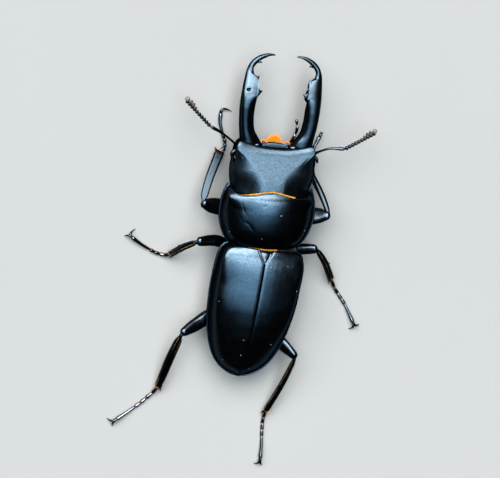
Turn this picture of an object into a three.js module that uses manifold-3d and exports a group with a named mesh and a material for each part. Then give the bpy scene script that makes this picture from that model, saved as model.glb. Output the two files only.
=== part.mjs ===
// A life-size male stag beetle standing on level ground with its mandibles open.
// Millimetres. X is the beetle's right, Y runs forward along its body and Z is up.
// The body is laid out from the middle of the pronotum's hind edge at ground level,
// and the finished group is moved so that its box stands centred on the origin.

import * as THREE from 'three';
import { mergeVertices } from 'three/addons/utils/BufferGeometryUtils.js';
import Module from 'manifold-3d';

const wasm = await Module();
wasm.setup();

// ---------------------------------------------------------------- driving dimensions

const PLATE_GAP = 0.2;
const JOINT_GAP = 0.15;
const RIM = 0.4;

const PRONOTUM = { halfWidth: 7.73, level: 5.35, crown: 9.35 };
const ELYTRA = { halfWidth: 7.3, level: 4.85, crown: 9.2, front: -0.6, apex: -22.35, seam: 0.12 };
const HEAD = { halfWidth: 6.85, side: 5.6, crown: 8.5, belly: 3.3 };
const SCUTELLUM = { halfWidth: 1.0, base: -0.7, tip: -2.6, top: 8.6, thickness: 0.6 };

// The front of the body turns a little to the left and the wing cases a little to the
// right: degrees about Z, and the shift to the right of each turned half.
const FRONT = { yaw: 2.5, shift: 0.1 };
const BACK = { yaw: -1.5, shift: 0.31 };

// Height of the belly under the middle line, and of its outer edge below the side rims.
const BELLY = { middle: 2.25, edge: 4.45 };

// Mandible stations from root to tip: outer edge x, y, inner edge x, y, depth.
const MANDIBLE_STATIONS = [
  [5.73, 15.60, 2.40, 15.90, 2.9],
  [5.83, 16.60, 2.75, 16.75, 2.8],
  [6.05, 18.00, 3.60, 18.00, 2.6],
  [6.25, 19.80, 4.10, 19.70, 2.4],
  [6.36, 21.80, 4.19, 21.60, 2.25],
  [6.33, 23.50, 4.08, 23.30, 2.1],
  [6.26, 25.00, 3.95, 24.50, 1.95],
  [6.17, 26.00, 3.97, 25.60, 1.8],
  [5.98, 27.30, 4.02, 26.55, 1.6],
  [5.80, 27.95, 4.80, 27.10, 1.4],
  [5.48, 28.65, 4.97, 27.85, 1.25],
  [4.93, 29.30, 4.55, 28.50, 1.1],
  [4.15, 29.85, 3.95, 29.05, 1.0],
  [3.18, 30.20, 3.10, 29.60, 0.8],
  [2.39, 30.25, 2.38, 29.90, 0.6],
  [1.78, 30.16, 1.80, 29.98, 0.4],
];
const MANDIBLE_TEETH = [
  { station: 6, reach: 0.8, behind: 1.0, ahead: 0.6, depth: 0.9 },
  { station: 8, reach: 0.15, behind: 0.7, ahead: 0.5, depth: 0.9 },
  { station: 12, reach: 0.45, behind: 0.5, ahead: 0.4, depth: 0.6 },
];
const MANDIBLE_LEVEL = 5.6;
const MANDIBLE_RISE = 0.3;

const EYE = { centre: [6.15, 13.3, 5.75], radii: [0.8, 1.25, 0.95] };

// The left palp is tucked below its mandible and the right one reaches forward.
const PALPS = {
  left: [[-2.4, 15.75, 3.5], [-3.0, 16.8, 3.4], [-3.9, 18.0, 3.3], [-4.6, 19.4, 3.3]],
  right: [[2.4, 15.75, 3.5], [2.75, 16.6, 3.8], [3.1, 17.8, 4.1], [3.25, 18.9, 4.3], [3.2, 20.0, 4.5]],
};

// Each leg's joints: where it leaves the coxa, knee, end of the tibia, the plan of the
// foot's joints, and where its claws aim and how far each is spread from there, in degrees
// anticlockwise from forward. A bow shifts the middle of a femur; stout makes it thicker.
const LEGS = {
  fore_left: {
    hip: [-3.9, 4.0, 2.6], knee: [-10.39, 5.1, 5.3], ankle: [-8.25, 13.0, 1.35],
    foot: [
      [-7.55, 13.5], [-7.55, 14.25], [-7.77, 14.94],
      [-8.12, 15.64], [-8.83, 17.46], [-8.94, 18.99],
    ],
    claws: { aim: -75, spread: 14 },
  },
  fore_right: {
    hip: [3.9, 4.0, 2.6], knee: [9.82, 5.73, 5.8], ankle: [6.6, 11.6, 1.3],
    foot: [
      [6.85, 12.39], [6.8, 13.03], [6.7, 13.69],
      [6.63, 14.36], [7.07, 15.85], [7.59, 17.28],
    ],
    claws: { aim: -35, spread: 24 },
  },
  mid_left: {
    hip: [-3.3, -2.7, 2.4], knee: [-10.11, -0.75, 5.4], ankle: [-13.5, -4.6, 1.15], bow: [0, 0.9],
    foot: [
      [-14.23, -5.0], [-15.07, -4.97], [-15.91, -4.77],
      [-16.71, -4.44], [-18.41, -3.61], [-20.05, -2.62],
    ],
    claws: { aim: 5, spread: 26 },
  },
  mid_right: {
    hip: [3.3, -2.8, 2.4], knee: [9.05, -0.22, 4.5], ankle: [13.25, -5.6, 1.15], bow: [0, 0.5],
    foot: [
      [14.2, -7.1], [15.0, -8.05], [15.75, -8.9],
      [16.5, -9.74], [17.46, -11.21], [18.34, -12.6],
    ],
    claws: { aim: -150, spread: 26 },
  },
  hind_left: {
    hip: [-3.0, -10.5, 2.35], knee: [-10.26, -16.27, 5.0], ankle: [-12.08, -26.8, 1.1],
    bow: [0.2, -0.4], stout: 1.2,
    foot: [
      [-12.8, -28.1], [-13.6, -29.1], [-14.35, -29.95],
      [-15.2, -30.75], [-16.6, -31.95], [-18.0, -33.1],
    ],
    claws: { aim: 140, spread: 24 },
  },
  hind_right: {
    hip: [2.9, -10.8, 2.35], knee: [8.72, -18.3, 4.5], ankle: [6.25, -29.0, 1.1],
    bow: [-0.9, -0.7], stout: 1.2,
    foot: [
      [6.2, -30.3], [6.24, -31.35], [6.37, -32.45],
      [6.5, -33.55], [6.7, -35.5], [6.81, -37.4],
    ],
    claws: { aim: 168, spread: 24 },
  },
};
const COXAE = {
  fore: { centre: [2.35, 3.7, 2.75], radii: [1.75, 1.0, 0.95] },
  mid: { centre: [2.1, -3.0, 2.65], radii: [1.35, 1.15, 0.9] },
  hind: { centre: [2.5, -10.3, 2.65], radii: [2.2, 0.85, 0.8] },
};
const FEMUR = { width: 1.8, depth: 1.35, droop: 0.25 };
const TIBIA = { knee: 0.75, end: 1.3, depth: 0.75 };
const FOOT = { width: 0.62, depth: 0.76, waist: 0.56, level: 0.23, entry: 0.42, lift: 0.75 };
const CLAW = { length: 1.5, width: 0.5 };

const ANTENNAE = {
  left: {
    base: [-7.0, 15.3, 5.35], bend: [-9.3, 16.75, 6.5], elbow: [-11.18, 17.46, 6.9],
    club: [-14.04, 19.92, 6.2], tip: [-15.53, 20.97, 5.6],
  },
  right: {
    base: [6.5, 15.65, 5.35], bend: [7.9, 16.45, 6.4], elbow: [9.83, 16.84, 6.9],
    club: [12.76, 18.33, 6.3], tip: [14.94, 19.75, 5.8],
  },
};
const FEELER = { width: 0.5, bead: 0.62, beads: 4, leaves: 4, leafReach: 0.95 };

const COLOURS = { shell: 0x0d1014, leg: 0x0b0c0f, eye: 0x050505, brush: 0xc8700f, joint: 0x1a1210 };

// ---------------------------------------------------------------- shape helpers

const vec = (x, y, z) => new THREE.Vector3(x, y, z);
const mix = THREE.MathUtils.lerp;
const clamp = THREE.MathUtils.clamp;

// Smooth curve through [input, output] pairs, flat beyond both ends.
function profile(pairs) {
  const slope = (i) => {
    const before = pairs[Math.max(i - 1, 0)];
    const after = pairs[Math.min(i + 1, pairs.length - 1)];
    return (after[1] - before[1]) / (after[0] - before[0]);
  };
  return (input) => {
    const x = clamp(input, pairs[0][0], pairs[pairs.length - 1][0]);
    let i = 0;
    while (i < pairs.length - 2 && x > pairs[i + 1][0]) i += 1;
    const span = pairs[i + 1][0] - pairs[i][0];
    const t = (x - pairs[i][0]) / span;
    const start = pairs[i][1] * (2 * t ** 3 - 3 * t ** 2 + 1) + slope(i) * span * (t ** 3 - 2 * t ** 2 + t);
    const end = pairs[i + 1][1] * (3 * t ** 2 - 2 * t ** 3) + slope(i + 1) * span * (t ** 3 - t ** 2);
    return start + end;
  };
}

function geometryOf(vertices, triangles) {
  const geometry = new THREE.BufferGeometry();
  const positions = vertices.flatMap((p) => [p.x, p.y, p.z]);
  geometry.setAttribute('position', new THREE.Float32BufferAttribute(positions, 3));
  geometry.setIndex(triangles.flat());
  return geometry;
}

// Closed plate between a top and a bottom surface. Both take u from left to right and
// v from rear to front, each from 0 to 1, and give a point.
function plate(across, along, top, bottom) {
  const vertices = [];
  const triangles = [];
  for (const surface of [top, bottom]) {
    for (let j = 0; j <= along; j += 1) {
      for (let i = 0; i <= across; i += 1) vertices.push(surface(i / across, j / along));
    }
  }
  const row = across + 1;
  const under = row * (along + 1);
  const quad = (a, b, c, d) => triangles.push([a, b, c], [a, c, d]);
  for (let j = 0; j < along; j += 1) {
    for (let i = 0; i < across; i += 1) {
      const a = j * row + i;
      quad(a, a + 1, a + row + 1, a + row);
      quad(under + a, under + a + row, under + a + row + 1, under + a + 1);
    }
  }
  for (let i = 0; i < across; i += 1) {
    const far = along * row + i;
    quad(i + 1, i, under + i, under + i + 1);
    quad(far, far + 1, under + far + 1, under + far);
  }
  for (let j = 0; j < along; j += 1) {
    const a = j * row;
    const b = a + across;
    quad(a, a + row, under + a + row, under + a);
    quad(b + row, b, under + b, under + b + row);
  }
  return geometryOf(vertices, triangles);
}

// Closed slab between a curved surface, given as for a plate, and a flat face at one level.
function slab(across, along, surface, level) {
  const vertices = [];
  const triangles = [];
  for (let j = 0; j <= along; j += 1) {
    for (let i = 0; i <= across; i += 1) vertices.push(surface(i / across, j / along));
  }
  const row = across + 1;
  for (let j = 0; j < along; j += 1) {
    for (let i = 0; i < across; i += 1) {
      const a = j * row + i;
      triangles.push([a, a + 1, a + row + 1], [a, a + row + 1, a + row]);
    }
  }
  const rim = [];
  for (let i = 0; i < across; i += 1) rim.push(i);
  for (let j = 0; j < along; j += 1) rim.push(j * row + across);
  for (let i = across; i > 0; i -= 1) rim.push(along * row + i);
  for (let j = along; j > 0; j -= 1) rim.push(j * row);
  const flat = vertices.length;
  rim.forEach((index) => vertices.push(vertices[index].clone().setZ(level)));
  rim.forEach((index, k) => {
    const next = (k + 1) % rim.length;
    triangles.push([rim[next], index, flat + k], [rim[next], flat + k, flat + next]);
  });
  const outline = rim.map((index) => new THREE.Vector2(vertices[index].x, vertices[index].y));
  for (const [a, b, c] of THREE.ShapeUtils.triangulateShape(outline, [])) {
    triangles.push([flat + a, flat + c, flat + b]);
  }
  const hangsBelow = vertices[Math.floor(flat / 2)].z < level;
  return geometryOf(vertices, hangsBelow ? triangles.map(([a, b, c]) => [a, c, b]) : triangles);
}

// Closed tube through rings of equal count, each turning the same way about the path.
function skin(rings) {
  const sides = rings[0].length;
  const vertices = rings.flat();
  const triangles = [];
  for (let i = 0; i < rings.length - 1; i += 1) {
    for (let k = 0; k < sides; k += 1) {
      const a = i * sides + k;
      const b = i * sides + ((k + 1) % sides);
      triangles.push([a, a + sides, b + sides], [a, b + sides, b]);
    }
  }
  const last = (rings.length - 1) * sides;
  for (let k = 1; k < sides - 1; k += 1) {
    triangles.push([0, k, k + 1], [last, last + k + 1, last + k]);
  }
  return geometryOf(vertices, triangles);
}

// Limb of oval section along a path. Each station is { at, width, depth }, and may have a
// shift to the side. It is flat above and below, and nothing of it reaches under the ground.
function limb(stations, sides) {
  const rings = stations.map(({ at, width, depth, shift = 0 }, i) => {
    const before = stations[Math.max(i - 1, 0)].at;
    const after = stations[Math.min(i + 1, stations.length - 1)].at;
    const ahead = after.clone().sub(before).normalize();
    const side = ahead.clone().cross(vec(0, 0, 1)).normalize();
    const lift = side.clone().cross(ahead);
    const firstTurn = sides % 4 === 0 ? 0.5 : 0;
    return Array.from({ length: sides }, (_, k) => {
      const turn = ((k + firstTurn) / sides) * 2 * Math.PI;
      const point = at.clone();
      point.addScaledVector(side, shift + (width / 2) * Math.cos(turn));
      point.addScaledVector(lift, (depth / 2) * Math.sin(turn));
      point.z = Math.max(point.z, 0);
      return point;
    });
  });
  return skin(rings);
}

// Limb whose width and depth follow profiles of the way along the curve.
function taperedLimb(curve, steps, sides, width, depth) {
  const stations = Array.from({ length: steps + 1 }, (_, i) => {
    const t = i / steps;
    return { at: curve.getPoint(t), width: width(t), depth: depth(t) };
  });
  return limb(stations, sides);
}

function ellipsoid(centre, radii, around = 10, rows = 6) {
  const geometry = new THREE.SphereGeometry(1, around, rows);
  geometry.scale(...radii);
  geometry.translate(...centre);
  return geometry;
}

function mirrored(geometry) {
  const copy = geometry.clone();
  copy.scale(-1, 1, 1);
  const index = copy.getIndex();
  for (let i = 0; i < index.count; i += 3) {
    const second = index.getX(i + 1);
    index.setX(i + 1, index.getX(i + 2));
    index.setX(i + 2, second);
  }
  return copy;
}

function toSolid(geometry) {
  const bare = geometry.clone();
  bare.deleteAttribute('normal');
  bare.deleteAttribute('uv');
  const merged = mergeVertices(bare, 1e-4);
  return new wasm.Manifold(new wasm.Mesh({
    numProp: 3,
    vertProperties: new Float32Array(merged.getAttribute('position').array),
    triVerts: new Uint32Array(merged.getIndex().array),
  }));
}

function toGeometry(solid) {
  const mesh = solid.getMesh();
  const geometry = new THREE.BufferGeometry();
  geometry.setAttribute('position', new THREE.BufferAttribute(mesh.vertProperties, 3));
  geometry.setIndex(new THREE.BufferAttribute(mesh.triVerts, 1));
  return geometry;
}

function cutBy(geometry, cutters) {
  return toGeometry(cutters.reduce((solid, cutter) => solid.subtract(toSolid(cutter)), toSolid(geometry)));
}

// ---------------------------------------------------------------- group and materials

const beetle = new THREE.Group();
const front = new THREE.Group();
const back = new THREE.Group();
for (const [half, { yaw, shift }] of [[front, FRONT], [back, BACK]]) {
  half.rotation.z = THREE.MathUtils.degToRad(yaw);
  half.position.x = shift;
  half.updateMatrix();
  beetle.add(half);
}

function finish(colour, roughness) {
  return new THREE.MeshStandardMaterial({ color: colour, roughness, metalness: 0 });
}

function addPart(parent, name, geometry, material) {
  geometry.computeVertexNormals();
  const mesh = new THREE.Mesh(geometry, material);
  mesh.name = name;
  parent.add(mesh);
}

// A point or shape of the beetle's own frame, taken into the frame of a turned half.
function pointIn(half, point) {
  return vec(...point).applyMatrix4(half.matrix.clone().invert());
}

function shapeIn(half, geometry) {
  return geometry.clone().applyMatrix4(half.matrix.clone().invert());
}

// ---------------------------------------------------------------- pronotum and prosternum

const pronotumHalfWidth = profile([
  [0, 4.5], [0.05, 5.45], [0.13, 6.3], [0.28, 7.2], [0.45, 7.68], [0.62, PRONOTUM.halfWidth],
  [0.78, 7.5], [0.92, 7.05], [1, 6.7],
]);
const PRONOTUM_REAR = -0.2;
const pronotumFront = profile([
  [0, 8.85], [1.4, 8.65], [2.8, 8.35], [4.2, 8.15], [5.4, 8.1], [6.2, 8.6], [6.75, 9.5],
]);
const pronotumCrown = profile([
  [PRONOTUM_REAR, 7.9], [2.5, 9.25], [5, PRONOTUM.crown], [7.5, 8.95], [9.3, 8.25],
]);

// Even steps across that gather towards both sides, from -1 to 1.
const spreadAcross = (u) => Math.sin((u - 0.5) * Math.PI);

function pronotumPlan(u, v, inset) {
  const x = spreadAcross(u) * (pronotumHalfWidth(v) - inset);
  const ahead = pronotumFront(Math.abs(x)) - inset;
  return [x, mix(PRONOTUM_REAR + inset, ahead, v)];
}

function pronotumTop(u, v) {
  const [x, y] = pronotumPlan(u, v, 0);
  const edge = PRONOTUM.level + RIM;
  const swell = (1 - Math.abs(spreadAcross(u)) ** 2.6) ** 0.62;
  return vec(x, y, edge + (pronotumCrown(y) - edge) * swell);
}

function prosternumUnder(u, v) {
  const [x, y] = pronotumPlan(u, v, 0.35);
  const swell = (1 - Math.abs(spreadAcross(u)) ** 2.2) ** 0.8;
  const fullness = Math.sin(Math.PI * mix(0.12, 0.88, v)) ** 0.6;
  return vec(x, y, mix(PRONOTUM.level - 0.6, BELLY.middle, swell * fullness));
}

// ---------------------------------------------------------------- elytra, scutellum and belly

const elytronEdge = new THREE.CatmullRomCurve3([
  vec(5.5, -0.75, 0), vec(6.7, -1.3, 0), vec(7.15, -2.6, 0), vec(ELYTRA.halfWidth, -5.5, 0),
  vec(ELYTRA.halfWidth, -8.6, 0), vec(7.05, -12, 0), vec(6.5, -15, 0), vec(5.72, -17.5, 0),
  vec(4.65, -19.6, 0), vec(3.15, -21.2, 0), vec(1.4, -22.15, 0), vec(0.45, ELYTRA.apex, 0),
], false, 'centripetal');
const elytraCrown = profile([
  [ELYTRA.apex, 5.7], [-20.5, 6.95], [-17.5, 8.05], [-13, 8.95], [-8, ELYTRA.crown], [-3, 9.05], [-0.75, 8.5],
]);

// Distance of the inner edge from the seam's middle: it makes room for the scutellum.
function elytronInner(y) {
  const reach = clamp((y - SCUTELLUM.tip) / (SCUTELLUM.base - SCUTELLUM.tip), 0, 1.2);
  return ELYTRA.seam / 2 + reach * (SCUTELLUM.halfWidth + JOINT_GAP);
}

function elytronPlan(u, v) {
  const edge = elytronEdge.getPoint(1 - v);
  const seamY = mix(ELYTRA.apex + 0.1, ELYTRA.front, v);
  const reach = Math.sin((u * Math.PI) / 2);
  const y = mix(seamY, edge.y, reach ** 1.5);
  return [mix(elytronInner(seamY), edge.x, reach), y, reach];
}

function elytronTop(u, v) {
  const [x, y, reach] = elytronPlan(u, v);
  const edge = ELYTRA.level + RIM;
  return vec(x, y, edge + (elytraCrown(y) - edge) * (1 - reach ** 2.5) ** 0.6);
}

function scutellumShape() {
  const point = (u, v, z) => {
    const width = mix(0.12, SCUTELLUM.halfWidth, v);
    return vec((2 * u - 1) * width, mix(SCUTELLUM.tip, SCUTELLUM.base, v), z);
  };
  const lower = SCUTELLUM.top - SCUTELLUM.thickness;
  return plate(
    4, 3,
    (u, v) => point(u, v, SCUTELLUM.top + 0.12 * Math.sin(Math.PI * u)),
    (u, v) => point(u, v, lower),
  );
}

// Belly plate between two places along the body. Its sides follow the elytra, set in.
function bellyPlate(rear, ahead, middle, across, along) {
  const halfWidth = profile([
    [-21.9, 2.2], [-21, 3.4], [-19, 4.85], [-16, 5.95], [-12, 6.7], [-8, 6.95], [-3, 6.8], [-0.4, 5.6],
  ]);
  const underside = (u, v) => {
    const y = mix(rear, ahead, v);
    const swell = (1 - Math.abs(spreadAcross(u)) ** 2.2) ** 0.85;
    return vec(spreadAcross(u) * halfWidth(y), y, mix(BELLY.edge, middle(y), swell));
  };
  return slab(across, along, underside, ELYTRA.level - PLATE_GAP);
}

// ---------------------------------------------------------------- head

const headHalfWidth = profile([
  [0, 6.4], [0.25, 6.7], [0.45, HEAD.halfWidth], [0.65, 6.75], [0.85, 6.62], [0.95, 6.3], [1, 5.85],
]);
const headFront = profile([[0, 15.15], [1.8, 15.2], [3.2, 15.45], [4.6, 15.9], [5.85, 16.2], [6.8, 16.2]]);
const headCrown = profile([
  [8, 7.75], [10, 8.25], [11.8, HEAD.crown], [13.8, 8.05], [14.7, 7.45], [16.2, 7.25],
]);

function headPlan(u, v) {
  const x = spreadAcross(u) * headHalfWidth(v);
  const rear = pronotumFront(Math.abs(x)) + PLATE_GAP;
  return [x, mix(rear, headFront(Math.abs(x)), v)];
}

function headTop(u, v) {
  const [x, y] = headPlan(u, v);
  const flatness = mix(2.0, 7, v ** 1.5);
  const edge = HEAD.side + RIM;
  const swell = (1 - Math.abs(spreadAcross(u)) ** flatness) ** 0.75;
  return vec(x, y, edge + (headCrown(y) - edge) * swell);
}

function headUnder(u, v) {
  const [x, y] = headPlan(u, v);
  const swell = (1 - Math.abs(spreadAcross(u)) ** 2.5) ** 0.7;
  const belly = mix(HEAD.belly + 0.5, HEAD.belly, Math.sin(Math.PI * v));
  return vec(x, y, mix(HEAD.side, belly, swell));
}

function eyeShape(grow) {
  return ellipsoid(EYE.centre, EYE.radii.map((radius) => radius + grow), 10, 6);
}

// ---------------------------------------------------------------- mandibles and mouth

// Value of one column of the station table, smooth between the rows.
function stationValue(place, column) {
  const last = MANDIBLE_STATIONS.length - 1;
  const i = clamp(Math.floor(place), 0, last - 1);
  const t = place - i;
  const row = (k) => MANDIBLE_STATIONS[clamp(k, 0, last)][column];
  const [a, b, c, d] = [row(i - 1), row(i), row(i + 1), row(i + 2)];
  return b + 0.5 * t * (c - a + t * (2 * a - 5 * b + 4 * c - d + t * (3 * (b - c) + d - a)));
}

function toothReach(tooth, inner) {
  const tipX = stationValue(tooth.station, 2);
  const tipY = stationValue(tooth.station, 3);
  const away = Math.hypot(inner.x - tipX, inner.y - tipY);
  const isBehind = inner.y < tipY || (inner.y < tipY + 0.5 && inner.x > tipX);
  return tooth.reach * Math.max(0, 1 - away / (isBehind ? tooth.behind : tooth.ahead)) ** 1.4;
}

// Ring of the mandible at one place between root and tip, from its outer edge over the
// top to the inner edge and back below.
function mandibleRing(place, halfCount) {
  const outer = vec(stationValue(place, 0), stationValue(place, 1), 0);
  const inner = vec(stationValue(place, 2), stationValue(place, 3), 0);
  const depth = stationValue(place, 4);
  const body = inner.distanceTo(outer);
  const inward = inner.clone().sub(outer).normalize();
  const reaches = MANDIBLE_TEETH.map((tooth) => toothReach(tooth, inner));
  const reach = Math.max(...reaches);
  const toothDepth = MANDIBLE_TEETH[reaches.indexOf(reach)].depth;
  const level = MANDIBLE_LEVEL + MANDIBLE_RISE * (place / MANDIBLE_STATIONS.length) ** 2;
  return Array.from({ length: 2 * halfCount }, (_, k) => {
    const turn = (Math.PI * k) / halfCount;
    const across = ((body + reach) * (1 - Math.cos(turn))) / 2;
    const round = Math.sqrt(Math.max(0, 1 - (2 * across / body - 1) ** 2));
    const wedge = (toothDepth / 2) * Math.max(0, 1 - across / (body + reach)) ** 0.8;
    const half = Math.max((depth / 2) * round, reach > 0 ? wedge : 0);
    const point = outer.clone().addScaledVector(inward, across);
    return point.setZ(level + Math.sign(Math.sin(turn)) * (k % halfCount === 0 ? 0 : half));
  });
}

function mandibleShape(stepsEach, halfCount) {
  const count = (MANDIBLE_STATIONS.length - 1) * stepsEach;
  return skin(Array.from({ length: count + 1 }, (_, i) => mandibleRing(i / stepsEach, halfCount)));
}

function labrumShape() {
  const reach = profile([[0, 17.45], [1.0, 16.95], [1.6, 16.6], [2.2, 16.55]]);
  const plan = (u, v, z) => {
    const x = (2 * u - 1) * 2.2;
    return vec(x, mix(headFront(Math.abs(x)) + PLATE_GAP, reach(Math.abs(x)), v), z);
  };
  return plate(6, 2, (u, v) => plan(u, v, mix(5.9, 5.45, v)), (u, v) => plan(u, v, mix(5.0, 4.95, v)));
}

function mentumShape() {
  const plan = (u, v, z) => vec((2 * u - 1) * mix(1.9, 2.9, v), mix(12.2, 15.6, v), z);
  return plate(4, 4, (u, v) => plan(u, v, 3.1), (u, v) => plan(u, v, 2.6 + 0.4 * (2 * u - 1) ** 2));
}

function palpShape(points) {
  const path = new THREE.CatmullRomCurve3(points.map((point) => vec(...point)));
  const width = profile([[0, 0.5], [0.3, 0.62], [0.4, 0.5], [0.65, 0.64], [0.7, 0.5], [0.9, 0.64], [1, 0.4]]);
  return taperedLimb(path, 7, 6, width, width);
}

// ---------------------------------------------------------------- antennae

function scapeShape({ base, bend, elbow }) {
  const path = new THREE.CatmullRomCurve3([base, bend, elbow].map((point) => pointIn(front, point)));
  const width = profile([[0, 0.5], [0.6, FEELER.width], [0.95, 0.66], [1, 0.55]]);
  return taperedLimb(path, 6, 6, width, width);
}

// Beads from the elbow to the club, then leaves that stand out on the front side.
function flagellumShape({ elbow, club, tip }) {
  const [start, middle, end] = [elbow, club, tip].map((point) => pointIn(front, point));
  start.addScaledVector(middle.clone().sub(start).normalize(), 0.45);
  const stations = [];
  const add = (from, to, place, width, depth, shift) => {
    stations.push({ at: from.clone().lerp(to, place), width, depth, shift });
  };
  for (let i = 0; i < FEELER.beads; i += 1) {
    add(start, middle, i / FEELER.beads, FEELER.width, FEELER.width, 0);
    add(start, middle, (i + 0.6) / FEELER.beads, FEELER.bead, FEELER.bead, 0);
  }
  const frontSide = end.x > middle.x ? -1 : 1;
  for (let i = 0; i < FEELER.leaves; i += 1) {
    const reach = FEELER.leafReach * Math.min(1, 0.55 + 0.2 * i);
    add(middle, end, i / FEELER.leaves, FEELER.width, FEELER.width, 0);
    for (const place of [0.35, 0.8]) {
      add(middle, end, (i + place) / FEELER.leaves, FEELER.width + reach, 0.62, (frontSide * reach) / 2);
    }
  }
  return limb(stations, 6);
}

// ---------------------------------------------------------------- legs

function femurShape({ hip, knee, bow = [0, 0], stout = 1 }, grow, steps = 7, sides = 8) {
  const [start, end] = [vec(...hip), vec(...knee)];
  const middle = start.clone().lerp(end, 0.5).add(vec(...bow, -FEMUR.droop));
  const path = new THREE.CatmullRomCurve3([start, middle, end]);
  const width = profile([
    [0, 0.9], [0.12, 1.2], [0.45, FEMUR.width * stout], [0.75, 1.6 * stout], [0.93, 1.2], [1, 0.8],
  ]);
  const depth = profile([
    [0, 0.7], [0.12, 0.95], [0.45, FEMUR.depth * stout], [0.75, 1.2], [0.93, 1.1], [1, 0.6],
  ]);
  return taperedLimb(path, steps, sides, (t) => width(t) + 2 * grow, (t) => depth(t) + 2 * grow);
}

function tibiaShape({ hip, knee, ankle }) {
  const [before, start, end] = [vec(...hip), vec(...knee), vec(...ankle)];
  const down = end.clone().sub(start).normalize();
  const outward = start.clone().sub(before).normalize();
  start.addScaledVector(down, 0.75 + JOINT_GAP).addScaledVector(outward, 0.1);
  const middle = start.clone().lerp(end, 0.4).addScaledVector(outward, 0.25);
  const path = new THREE.CatmullRomCurve3([start, middle, end]);
  const width = profile([[0, 0.6], [0.1, TIBIA.knee], [0.6, 1.0], [0.92, TIBIA.end], [1, 1.1]]);
  const depth = profile([[0, 0.6], [0.3, TIBIA.depth], [0.9, 0.85], [1, 0.7]]);
  return taperedLimb(path, 6, 8, width, depth);
}

// Five foot joints, each swelling to its far end; the last is long and lifts its tip.
function footShape({ ankle, foot }) {
  const rise = (i) => mix(FOOT.level, FOOT.lift, Math.max(0, i - 3) / 2);
  const points = foot.map(([x, y], i) => vec(x, y, rise(i)));
  const root = vec(...ankle);
  const entry = points[0].clone().sub(root).normalize();
  points[0].z = FOOT.entry;
  root.addScaledVector(entry, JOINT_GAP + 0.1);
  const stations = [{ at: root, width: FOOT.waist, depth: FOOT.waist }];
  points.slice(0, 4).forEach((point, i) => {
    const previous = i === 0 ? root : points[i - 1];
    stations.push({ at: previous.clone().lerp(point, 0.78), width: FOOT.width, depth: FOOT.depth });
    stations.push({ at: point.clone(), width: FOOT.waist, depth: FOOT.waist });
  });
  stations.push({ at: points[4], width: FOOT.waist, depth: FOOT.waist });
  stations.push({ at: points[4].clone().lerp(points[5], 0.8), width: FOOT.width, depth: FOOT.width });
  stations.push({ at: points[5], width: FOOT.waist, depth: FOOT.waist });
  return limb(stations, 6);
}

// Both claws in one: out along one to the root and back along the other.
function clawsShape({ foot, claws }) {
  const tip = vec(...foot[5], FOOT.lift);
  const ahead = tip.clone().sub(vec(...foot[4], FOOT.lift)).normalize();
  const root = tip.clone().addScaledVector(ahead, JOINT_GAP + 0.3);
  const toward = (turn, reach, z) => {
    const angle = THREE.MathUtils.degToRad(claws.aim + turn);
    return vec(root.x - Math.sin(angle) * reach, root.y + Math.cos(angle) * reach, z);
  };
  const path = new THREE.CatmullRomCurve3([
    toward(claws.spread, CLAW.length, 0.12), toward(1.6 * claws.spread, 0.6 * CLAW.length, 0.7), root,
    toward(-1.6 * claws.spread, 0.6 * CLAW.length, 0.7), toward(-claws.spread, CLAW.length, 0.12),
  ]);
  const width = (t) => mix(0.24, CLAW.width, Math.sin(Math.PI * t) ** 0.7);
  return taperedLimb(path, 8, 6, width, width);
}

function coxaShape(name, side, grow) {
  const { centre, radii } = COXAE[name];
  const [x, y, z] = centre;
  return ellipsoid([side * x, y, z], radii.map((radius) => radius + grow), 8, 5);
}

// ---------------------------------------------------------------- assembly

const shellFinish = finish(COLOURS.shell, 0.35);
const legFinish = finish(COLOURS.leg, 0.4);
const eyeFinish = finish(COLOURS.eye, 0.1);
const brushFinish = finish(COLOURS.brush, 0.8);
const jointFinish = finish(COLOURS.joint, 0.5);
const SIDES = [['left', -1], ['right', 1]];

const femurCutters = Object.values(LEGS).map((leg) => femurShape(leg, 1.3 * JOINT_GAP, 4, 6));
const coxaCutters = Object.keys(COXAE).flatMap((name) => (
  SIDES.map(([, side]) => coxaShape(name, side, JOINT_GAP))
));
const legCutters = [...femurCutters, ...coxaCutters];

function cutByLegs(half, geometry) {
  return cutBy(geometry, legCutters.map((cutter) => shapeIn(half, cutter)));
}

addPart(front, 'pronotum', slab(18, 9, pronotumTop, PRONOTUM.level), shellFinish);
const prosternumGeometry = slab(10, 5, prosternumUnder, PRONOTUM.level - PLATE_GAP);
addPart(front, 'prosternum', cutByLegs(front, prosternumGeometry), shellFinish);

const headWhole = plate(16, 7, headTop, headUnder);
const eyeSockets = [eyeShape(JOINT_GAP / 2), mirrored(eyeShape(JOINT_GAP / 2))];
addPart(front, 'head', cutBy(headWhole, eyeSockets), shellFinish);
addPart(front, 'eye_left', mirrored(eyeShape(0)), eyeFinish);
addPart(front, 'eye_right', eyeShape(0), eyeFinish);
addPart(front, 'labrum', labrumShape(), brushFinish);
addPart(front, 'mentum', mentumShape(), shellFinish);
addPart(front, 'palp_left', palpShape(PALPS.left), legFinish);
addPart(front, 'palp_right', palpShape(PALPS.right), legFinish);

const headCutter = headWhole.clone().translate(0, PLATE_GAP, 0);
const mandibleGeometry = cutBy(mandibleShape(2, 5), [headCutter]);
addPart(front, 'mandible_left', mirrored(mandibleGeometry), shellFinish);
addPart(front, 'mandible_right', mandibleGeometry, shellFinish);

for (const [side] of SIDES) {
  addPart(front, `scape_${side}`, scapeShape(ANTENNAE[side]), legFinish);
  addPart(front, `flagellum_${side}`, flagellumShape(ANTENNAE[side]), legFinish);
}

const elytronGeometry = slab(8, 18, elytronTop, ELYTRA.level);
addPart(back, 'elytron_left', mirrored(elytronGeometry), shellFinish);
addPart(back, 'elytron_right', elytronGeometry, shellFinish);
addPart(back, 'scutellum', scutellumShape(), shellFinish);

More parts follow.
